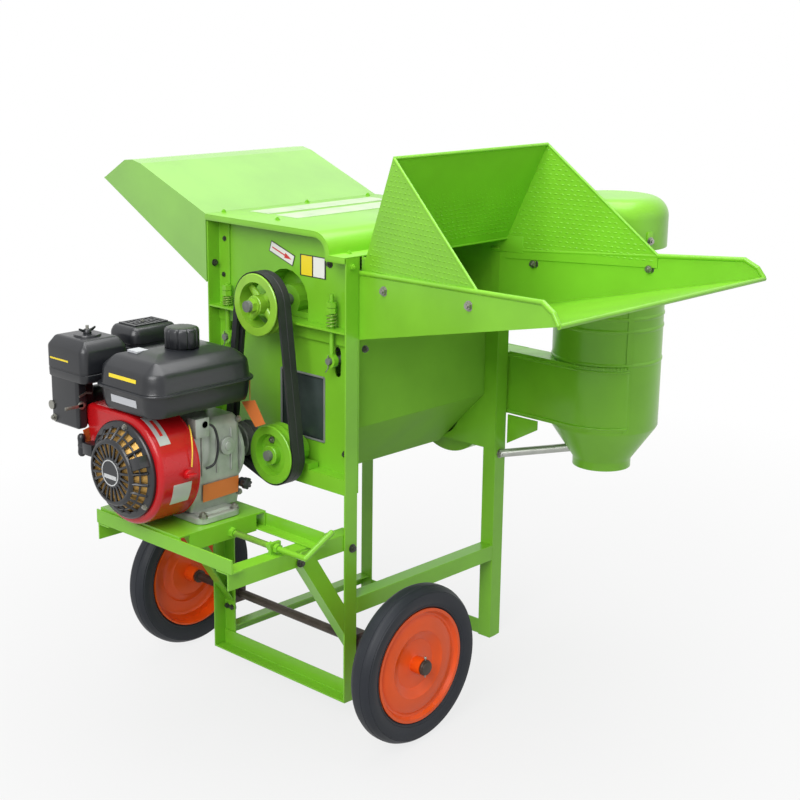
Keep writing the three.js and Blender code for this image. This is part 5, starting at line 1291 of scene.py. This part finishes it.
lead(bm, switch_route, switch_wire)
make("switch_lead", bm, wire_yellow, "engine", smooth=50)
bm = bmesh.new()
plate(bm, tank_tag_line, ACROSS * tag_thick)
bar(bm, at(-0.1035, 0.160, 0.540), at(-0.1035, 0.160, 0.5885), tag_wire, sides=10)
plate(bm, choke_tag_line, DEPTH * tag_thick)
make("engine_tags", bm, tag_orange, "engine")

# Blower shroud. A pressed steel cowl painted red wraps the flywheel and guides air over the cylinder.
# Its front edge is rolled round, and two plain silver plates, one with a red arrow, lie on its curved side.
gloss_red = finish("gloss_red", tint(180, 16, 22), 0.26, mottle=0.06, patch=12, coat=0.2, shine=0.3)
shroud_left, shroud_back = -0.318, -0.2363
shroud_radius = 0.096
shoulder_y, shoulder_z, shoulder_cut = 0.344, 0.5457, 0.016
arc_start, arc_sweep, arc_steps = 95, 265, 72
rim_round = 0.009
bead_radius, bead_inset = 0.0014, 0.0012
outline = []
for step in range(arc_steps + 1):
    angle = radians(arc_start + arc_sweep * step / arc_steps)
    around = shroud_radius * Vector((0, cos(angle), sin(angle)))
    outline.append(crank_centre + around + ACROSS * shroud_left)
outline += [at(shroud_left, shoulder_y, shoulder_z - shoulder_cut),
            at(shroud_left, shoulder_y - 0.004, shoulder_z - 0.005),
            at(shroud_left, shoulder_y - shoulder_cut, shoulder_z)]
bm = bmesh.new()
plate(bm, outline, ACROSS * (shroud_back - shroud_left))
bmesh.ops.recalc_face_normals(bm, faces=bm.faces[:])
front_x = foot.x + shroud_left
front_rim = [edge for edge in bm.edges if all(abs(vert.co.x - front_x) < 0.0001 for vert in edge.verts)]
bmesh.ops.bevel(bm, geom=front_rim, offset=rim_round, segments=6, profile=0.5, affect="EDGES",
                clamp_overlap=True, material=-1)
lift = ACROSS * (shroud_back - shroud_left - bead_inset)
for start, end in zip(outline, outline[1:] + outline[:1]):
    bar(bm, start + lift, end + lift, bead_radius, sides=8)
make("blower_cowl", bm, gloss_red, "engine", ["blower_shroud"], smooth=35)

label_silver = finish("label_silver", tint(196, 198, 198), 0.35, metallic=0.3, mottle=0.04)
label_radius = shroud_radius - 0.0002
label_thick, arrow_thick = 0.0007, 0.001


def curved_plate(bm, start_x, end_x, start_angle, end_angle, radius, thick):
    steps = 12
    line = []
    for step in range(steps + 1):
        angle = radians(start_angle + (end_angle - start_angle) * step / steps)
        line.append((cos(angle), sin(angle)))
    outer = [at(start_x, crank_y + (radius + thick) * c, crank_z + (radius + thick) * s) for c, s in line]
    inner = [at(start_x, crank_y + radius * c, crank_z + radius * s) for c, s in line[::-1]]
    plate(bm, outer + inner, ACROSS * (end_x - start_x))


bm = bmesh.new()
curved_plate(bm, -0.306, -0.284, 108, 146, label_radius, label_thick)
curved_plate(bm, -0.292, -0.254, 188, 211, label_radius, label_thick)
make("shroud_labels", bm, label_silver, "engine")
bm = bmesh.new()
curved_plate(bm, -0.2975, -0.2915, 115, 136, label_radius, arrow_thick)
make("shroud_arrow", bm, label_red, "engine")

# Stop switch. A red moulded rocker turns in a round collar of the same plastic.
# The collar clips into the shroud's side, and a yellow lead runs to it from the casting.
switch_low, switch_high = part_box("stop_switch")
switch_middle = (switch_low + switch_high) / 2
switch_collar, switch_collar_length = 0.009, 0.007
rocker_half, rocker_root = 0.003, 0.006
collar_end = Vector((switch_middle.x, switch_high.y, switch_middle.z))
bm = bmesh.new()
bar(bm, collar_end, collar_end - DEPTH * switch_collar_length, switch_collar, sides=48)
block(bm, Vector((switch_low.x, switch_low.y, switch_middle.z - rocker_half)),
      Vector((switch_high.x, switch_high.y - rocker_root, switch_middle.z + rocker_half)))
soften(bm, 0.0009, segments=3, angle=35)
make("switch_rocker", bm, gloss_red, "stop_switch", ["stop_switch"], smooth=35)

# Recoil starter. A black pressed cover has a raised drum with radial slots over a brass coloured screen.
# Three plated screws hold it to the shroud, and its centre is closed by a plain disc with a pale ring.
brass = finish("brass_screen", tint(176, 138, 72), 0.4, metallic=0.7, mottle=0.25, patch=160, grain=1800,
               relief=0.3)
recoil_back = -0.3183
disc_face, drum_face = -0.3495, -0.350
outer_ring = [(0.076, recoil_back), (0.084, recoil_back), (0.084, -0.3235), (0.082, -0.3255),
              (0.077, -0.3262), (0.0725, -0.3282), (0.0715, -0.3268), (0.0755, -0.3245)]
slope_ring = [(0.0655, -0.3352), (0.0665, -0.3366), (0.0640, -0.3384), (0.0630, -0.3370)]
drum_ring = [(0.0565, -0.3440), (0.0580, -0.3452), (0.0555, -0.3485), (0.0520, drum_face),
             (0.0490, disc_face), (0.0490, -0.3470), (0.0530, -0.3465)]
centre_disc = [(0, disc_face), (0.0245, disc_face), (0.0265, -0.348), (0.0265, -0.3450), (0, -0.3450)]
slot_count = 22
vane_half = 0.0021
vane_low, vane_high = Vector((-0.3492, -vane_half, 0.024)), Vector((-0.3462, vane_half, 0.052))
rib_top, rib_foot = Vector((-0.3460, 0, 0.0545)), Vector((-0.3270, 0, 0.0740))
rib_radius = 0.0032
mouth_half = 0.010
mouth_angle = 66
mouth_low, mouth_high = Vector((-0.3465, -mouth_half, 0.052)), Vector((-0.3225, mouth_half, 0.0815))
recoil_grip_z = 0.4742
bm = bmesh.new()
for profile in (outer_ring, slope_ring, drum_ring, centre_disc):
    ring_profile(bm, profile)
for slot in range(slot_count):
    turn = Matrix.Translation(crank_centre) @ Matrix.Rotation(2 * pi * slot / slot_count, 4, "X")
    bmesh.ops.transform(bm, matrix=turn, verts=block(bm, vane_low, vane_high))
    bmesh.ops.transform(bm, matrix=turn, verts=bar(bm, rib_top, rib_foot, rib_radius, sides=4))
turn = Matrix.Translation(crank_centre) @ Matrix.Rotation(radians(mouth_angle), 4, "X")
bmesh.ops.transform(bm, matrix=turn, verts=block(bm, mouth_low, mouth_high))
block(bm, at(-0.3455, crank_y + 0.056, recoil_grip_z - mouth_half),
      at(-0.3225, crank_y + 0.0815, recoil_grip_z + mouth_half))
soften(bm, 0.0006, angle=45)
make("recoil_grille", bm, satin_black, "engine", ["recoil_cover"], smooth=35)
screen_face, screen_back = -0.3435, -0.3418
screen_dish = [(0, screen_face), (0.050, screen_face), (0.0715, -0.3240), (0.0700, -0.3225),
               (0.049, screen_back), (0, screen_back)]
bm = bmesh.new()
ring_profile(bm, screen_dish)
make("recoil_screen", bm, brass, "engine")
pale_ring = rectangle(0.0205, disc_face, 0.0225, drum_face)
badge_half = 0.0165
bm = bmesh.new()
ring_profile(bm, pale_ring)
block(bm, at(-0.3499, crank_y - badge_half, crank_z - 0.0105),
      at(-0.3494, crank_y + badge_half, crank_z - 0.0035))
make("recoil_badge", bm, label_silver, "engine")
recoil_screw, screw_circle, screw_face = 0.0042, 0.0785, -0.3258
bm = bmesh.new()
for screw_angle in (100, 220, 332):
    angle = radians(screw_angle)
    around = Vector((screw_face, screw_circle * cos(angle), screw_circle * sin(angle)))
    bolt(bm, crank_centre + around, -ACROSS, recoil_screw)
make("recoil_screws", bm, zinc, "engine")

# Starter handle. A moulded black T grip is tied to the end of a pale braided rope.
# The rope winds into the recoil cover, and at rest the grip lies close to the cover's side.
rope_pale = finish("rope_pale", tint(150, 148, 140), 0.8, mottle=0.2, patch=400, grain=2600, relief=0.6)
grip_middle = at(-0.3338, 0.332, recoil_grip_z)
rope_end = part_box("starter_handle")[0].y
rope_radius = 0.0021
grip_half = [(0, 0.0265), (0.0035, 0.0255), (0.0062, 0.022), (0.0070, 0.016), (0.0064, 0.008)]
grip_line = [(radius, -along) for radius, along in grip_half] + grip_half[::-1]
grip_shortening = 0.77
stem_line = [(0, -0.014), (0.0045, -0.014), (0.0062, -0.010), (0.0068, 0.002), (0, 0.002)]
bm = bmesh.new()
spun(bm, [(radius, along * grip_shortening) for radius, along in grip_line], grip_middle, UP, steps=40)
spun(bm, stem_line, grip_middle, DEPTH, steps=40)
make("starter_grip", bm, satin_black, "starter_handle", ["starter_handle"], smooth=50)
bm = bmesh.new()
bar(bm, Vector((grip_middle.x, rope_end, grip_middle.z)), grip_middle, rope_radius, sides=20)
make("starter_rope", bm, rope_pale, "starter_handle", smooth=50)

# Fuel tank. Two deep-drawn steel shells are rolled together along a seam and painted satin black.
# A grey and an amber plate lie along its side, and a small grey one on its top.
tank_low, tank_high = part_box("fuel_tank")
lower_shell = [(0.028, 0.5482), (0.016, 0.5488), (0.0085, 0.5515), (0.0055, 0.5580), (0.0032, 0.5700),
               (0.0015, 0.5850)]
rolled_seam = [(0.0005, 0.5872), (-0.0040, 0.5878), (-0.0050, 0.5890), (-0.0050, 0.5908), (-0.0040, 0.5920),
               (0.0005, 0.5926)]
upper_shell = [(0.0015, 0.5950), (0.0030, 0.6080), (0.0045, 0.6185), (0.0062, 0.6225), (0.0090, 0.6255),
               (0.0230, 0.6365), (0.0275, 0.6392), (0.0310, 0.6402), (0.0480, 0.6440), (0.0560, 0.6455),
               (0.0640, 0.6460)]
tank_rings = lower_shell + rolled_seam + upper_shell
tank_corner = 0.034
bm = bmesh.new()
lofted(bm, levels(tank_low, tank_high, tank_corner, tank_rings, steps=12))
make("tank_shell", bm, satin_black, "engine", ["fuel_tank"])
label_grey = finish("label_grey", tint(188, 190, 194), 0.4, mottle=0.04)
sign_thick = 0.0012
sign_front = 0.184


def tank_strip(bm, foot_x, head_x, rear, foot_z, head_z):
    plate(bm, [at(foot_x, sign_front, foot_z), at(head_x, sign_front, head_z), at(head_x, rear, head_z),
               at(foot_x, rear, foot_z)], -ACROSS * sign_thick)


bm = bmesh.new()
tank_strip(bm, -0.3262, -0.3272, 0.251, 0.566, 0.5785)
block(bm, at(-0.2870, 0.232, 0.6425), at(-0.2630, 0.258, 0.6462))
make("tank_plates", bm, label_grey, "engine")
bm = bmesh.new()
tank_strip(bm, -0.3265, -0.3260, 0.256, 0.6070, 0.6130)
make("tank_sign", bm, label_amber, "engine")

# Fuel cap. A moulded black plastic cap screws on the tank's filler neck.
# Ten shallow finger grips run down its side, and its top edge is rounded.
cap_radius = 0.0295
cap_lobes = 10
cap_middle = at(-0.206, 0.214, 0)
cap_foot = height(0.6463)
cap_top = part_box("fuel_cap")[1].z
cap_edge = 0.0012
grip_depth, grip_sharpness = 0.0018, 6
grip_steps = 12


def cap_ring(inset, z):
    ring = []
    count = cap_lobes * grip_steps
    for step in range(count):
        angle = 2 * pi * step / count
        radius = cap_radius - inset - grip_depth * max(0, cos(cap_lobes * angle)) ** grip_sharpness
        ring.append(Vector((cap_middle.x + radius * cos(angle), cap_middle.y + radius * sin(angle), z)))
    return ring


cap_rings = [(cap_edge, cap_foot), (0, cap_foot + cap_edge), (0, cap_top - 0.006), (0.0010, cap_top - 0.0032),
             (0.0030, cap_top - 0.0012), (0.0060, cap_top - 0.0002), (0.0100, cap_top)]
bm = bmesh.new()
lofted(bm, [cap_ring(inset, z) for inset, z in cap_rings])
make("cap_moulding", bm, satin_black, "fuel_cap", ["fuel_cap"], smooth=45)

# Air cleaner. A moulded black box with a bevelled lid is held by a wing nut on a stud.
# It stands on the carburettor and its choke panel, whose plated levers show at the side.
cleaner_low, cleaner_high = at(-0.342, 0.307, 0), at(-0.247, 0.416, 0)
body_rings = [(0.006, 0.5842), (0.002, 0.5848), (0.0006, 0.587), (0, 0.5985), (0.0009, 0.5992),
              (0.0009, 0.6008)]
lid_rings = [(0, 0.6016), (0, 0.6375), (0.0012, 0.6408), (0.0118, 0.6538), (0.0145, 0.6555), (0.018, 0.656)]
cleaner_corner, panel_corner = 0.013, 0.006
panel_rings = [(0.003, 0.502), (0, 0.505), (0, 0.585)]
carburettor_rings = [(0.003, 0.5025), (0, 0.5055), (0, 0.5847)]
intake_y, intake_z, intake_radius = 0.376, 0.543, 0.018
cleaner_stud = Vector((foot.x - 0.2945, foot.y + 0.3585, 0))
stud_radius = 0.0028
disc_foot, disc_top, disc_radius, disc_edge = height(0.655), height(0.659), 0.0235, 0.001
disc_line = [(0, disc_foot), (disc_radius, disc_foot), (disc_radius, height(0.6575)),
             (disc_radius - disc_edge, disc_top), (0, disc_top)]
bm = bmesh.new()
lofted(bm, levels(cleaner_low, cleaner_high, cleaner_corner, body_rings + lid_rings, steps=10))
spun(bm, disc_line, cleaner_stud, UP, steps=64)
lofted(bm, levels(at(-0.340, 0.331, 0), at(-0.3183, 0.408, 0), panel_corner, panel_rings))
lofted(bm, levels(at(-0.3394, 0.3443, 0), at(-0.2945, 0.4074, 0), panel_corner, carburettor_rings))
bar(bm, at(-0.300, intake_y, intake_z), at(-0.2276, intake_y, intake_z), intake_radius, sides=48)
make("cleaner_box", bm, satin_black, "engine", ["air_cleaner"], smooth=35)
lever_y = 0.3305
lever_thick = 0.0015
choke_lever = [(-0.337, 0.5615), (-0.322, 0.5665), (-0.310, 0.5635), (-0.311, 0.5600), (-0.322, 0.5625),
               (-0.336, 0.5580)]
knob_y, knob_z, knob_radius = 0.4045, 0.533, 0.008
panel_screw = 0.005
bm = bmesh.new()
bar(bm, cleaner_stud + UP * height(0.656), cleaner_stud + UP * height(0.673), stud_radius, sides=20)
bar(bm, at(-0.3405, knob_y, knob_z), at(-0.3425, knob_y, knob_z), knob_radius, sides=28)
bolt(bm, at(-0.340, 0.399, 0.5115), -ACROSS, panel_screw)
plate(bm, [at(x, lever_y, z) for x, z in choke_lever], -DEPTH * lever_thick)
make("choke_levers", bm, zinc, "engine")
bm = bmesh.new()
block(bm, at(-0.3423, 0.350, 0.6165), at(-0.3415, 0.402, 0.6195))
make("cleaner_sign", bm, label_amber, "engine")

# Wing nut. A small cast wing nut turns on the lid's stud and holds the air cleaner's lid down.
# Its two wings lean outwards and up, and it is painted satin black.
wing_foot = height(0.6593)
wing_top = wing_foot + 0.0075
wing_bore = 0.0033
wing_half = 0.0013
wing_line = [(0.0048, 0.0022), (0.0110, 0.0034), (0.0168, 0.0075), (0.0170, 0.0100), (0.0150, 0.0102),
             (0.0100, 0.0080), (0.0048, 0.0068)]
bm = bmesh.new()
spun(bm, [(wing_bore, wing_foot), (0.0075, wing_foot), (0.0065, wing_foot + 0.006), (0.0052, wing_top),
          (wing_bore, wing_top), (wing_bore, wing_foot)], cleaner_stud, UP, steps=36)
for way in (-1, 1):
    wing = [cleaner_stud + Vector((way * out, wing_half, wing_foot + up)) for out, up in wing_line]
    plate(bm, wing, -DEPTH * 2 * wing_half)
soften(bm, 0.0004, angle=40)
make("wing_casting", bm, satin_black, "wing_nut", ["wing_nut"])

# Throttle lever. A plated steel lever turns on a round boss in front of the carburettor.
# Its flat arm points away from the machine, where a thumb can push it.
lever_low, lever_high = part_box("throttle_lever")
lever_x, lever_z = foot.x - 0.3327, height(0.544)
lever_boss, lever_pin = 0.0068, 0.0032
pin_length = 0.0002
arm_half, arm_thick = 0.0028, 0.0013
lever_front = Vector((lever_x, lever_low.y, lever_z))
bm = bmesh.new()
bar(bm, Vector((lever_x, lever_high.y, lever_z)), lever_front, lever_boss, sides=40)
bar(bm, lever_front, lever_front + DEPTH * pin_length, lever_pin)
block(bm, Vector((lever_low.x, lever_low.y, lever_z - arm_half)),
      Vector((lever_x, lever_low.y + arm_thick, lever_z + arm_half)))
soften(bm, 0.0004, angle=40)
make("throttle_arm", bm, zinc, "throttle_lever", ["throttle_lever"])

# Muffler. A black pressed guard with two swaged grooves covers the silencer on the cylinder head.
# Its top is a grid of ribs inside a frame, and one plated screw holds the guard down.
guard_low, guard_high = at(-0.222, 0.326, 0), at(-0.120, 0.402, 0)
guard_corner = 0.016
swage = 0.0012
guard_sides = [(0.004, 0.5765), (0, 0.580), (0, 0.606), (swage, 0.6075), (swage, 0.6125), (0, 0.614),
               (0, 0.624), (swage, 0.6255), (swage, 0.6305), (0, 0.632), (0, 0.645)]
guard_top = [(0.0008, 0.6490), (0.0040, 0.6550), (0.0070, 0.6580), (0.011, 0.6595), (0.015, 0.6598)]
rib_count = 8
first_rib, ribs_span = -0.201, 0.060
rib_half = 0.0021
rail_width = 0.004
bm = bmesh.new()
lofted(bm, levels(guard_low, guard_high, guard_corner, guard_sides + guard_top, steps=10))
for rib in range(rib_count):
    rib_x = first_rib + ribs_span * rib / (rib_count - 1)
    block(bm, at(rib_x - rib_half, 0.3415, 0.6585), at(rib_x + rib_half, 0.3865, 0.6614))
for rail_y in (0.3410, 0.3630, 0.3835):
    block(bm, at(-0.2066, rail_y, 0.6584), at(-0.1354, rail_y + rail_width, 0.6617))
for rail_x in (-0.2070, -0.1390):
    block(bm, at(rail_x, 0.3408, 0.6583), at(rail_x + rail_width, 0.3877, 0.6619))
make("muffler_guard", bm, satin_black, "engine", ["muffler"], smooth=35)
guard_screw = 0.0035
bm = bmesh.new()
bolt(bm, at(-0.172, 0.3655, 0.6595), UP, guard_screw)
make("guard_screw", bm, zinc, "engine")

# Crankshaft. A forged shaft carries the flywheel and the small cast pulley that drives the belt.
# The pulley has two V grooves, and all three are left unpainted.
shaft_left, shaft_right, flywheel_right = -0.311, -0.038, -0.297
shaft_radius, flywheel_radius = 0.011, 0.062
crank_bore = 0.0095
bm = bmesh.new()
spun(bm, grooved(crank_groove, crank_bore), flat_crank, ACROSS, steps=96)
bar(bm, at(shaft_left, crank_y, crank_z), at(shaft_right, crank_y, crank_z), shaft_radius, sides=40)
bar(bm, at(shaft_left, crank_y, crank_z), at(flywheel_right, crank_y, crank_z), flywheel_radius, sides=80)
make("crank_and_pulley", bm, cast_iron, "crank", ["crankshaft"], smooth=35)
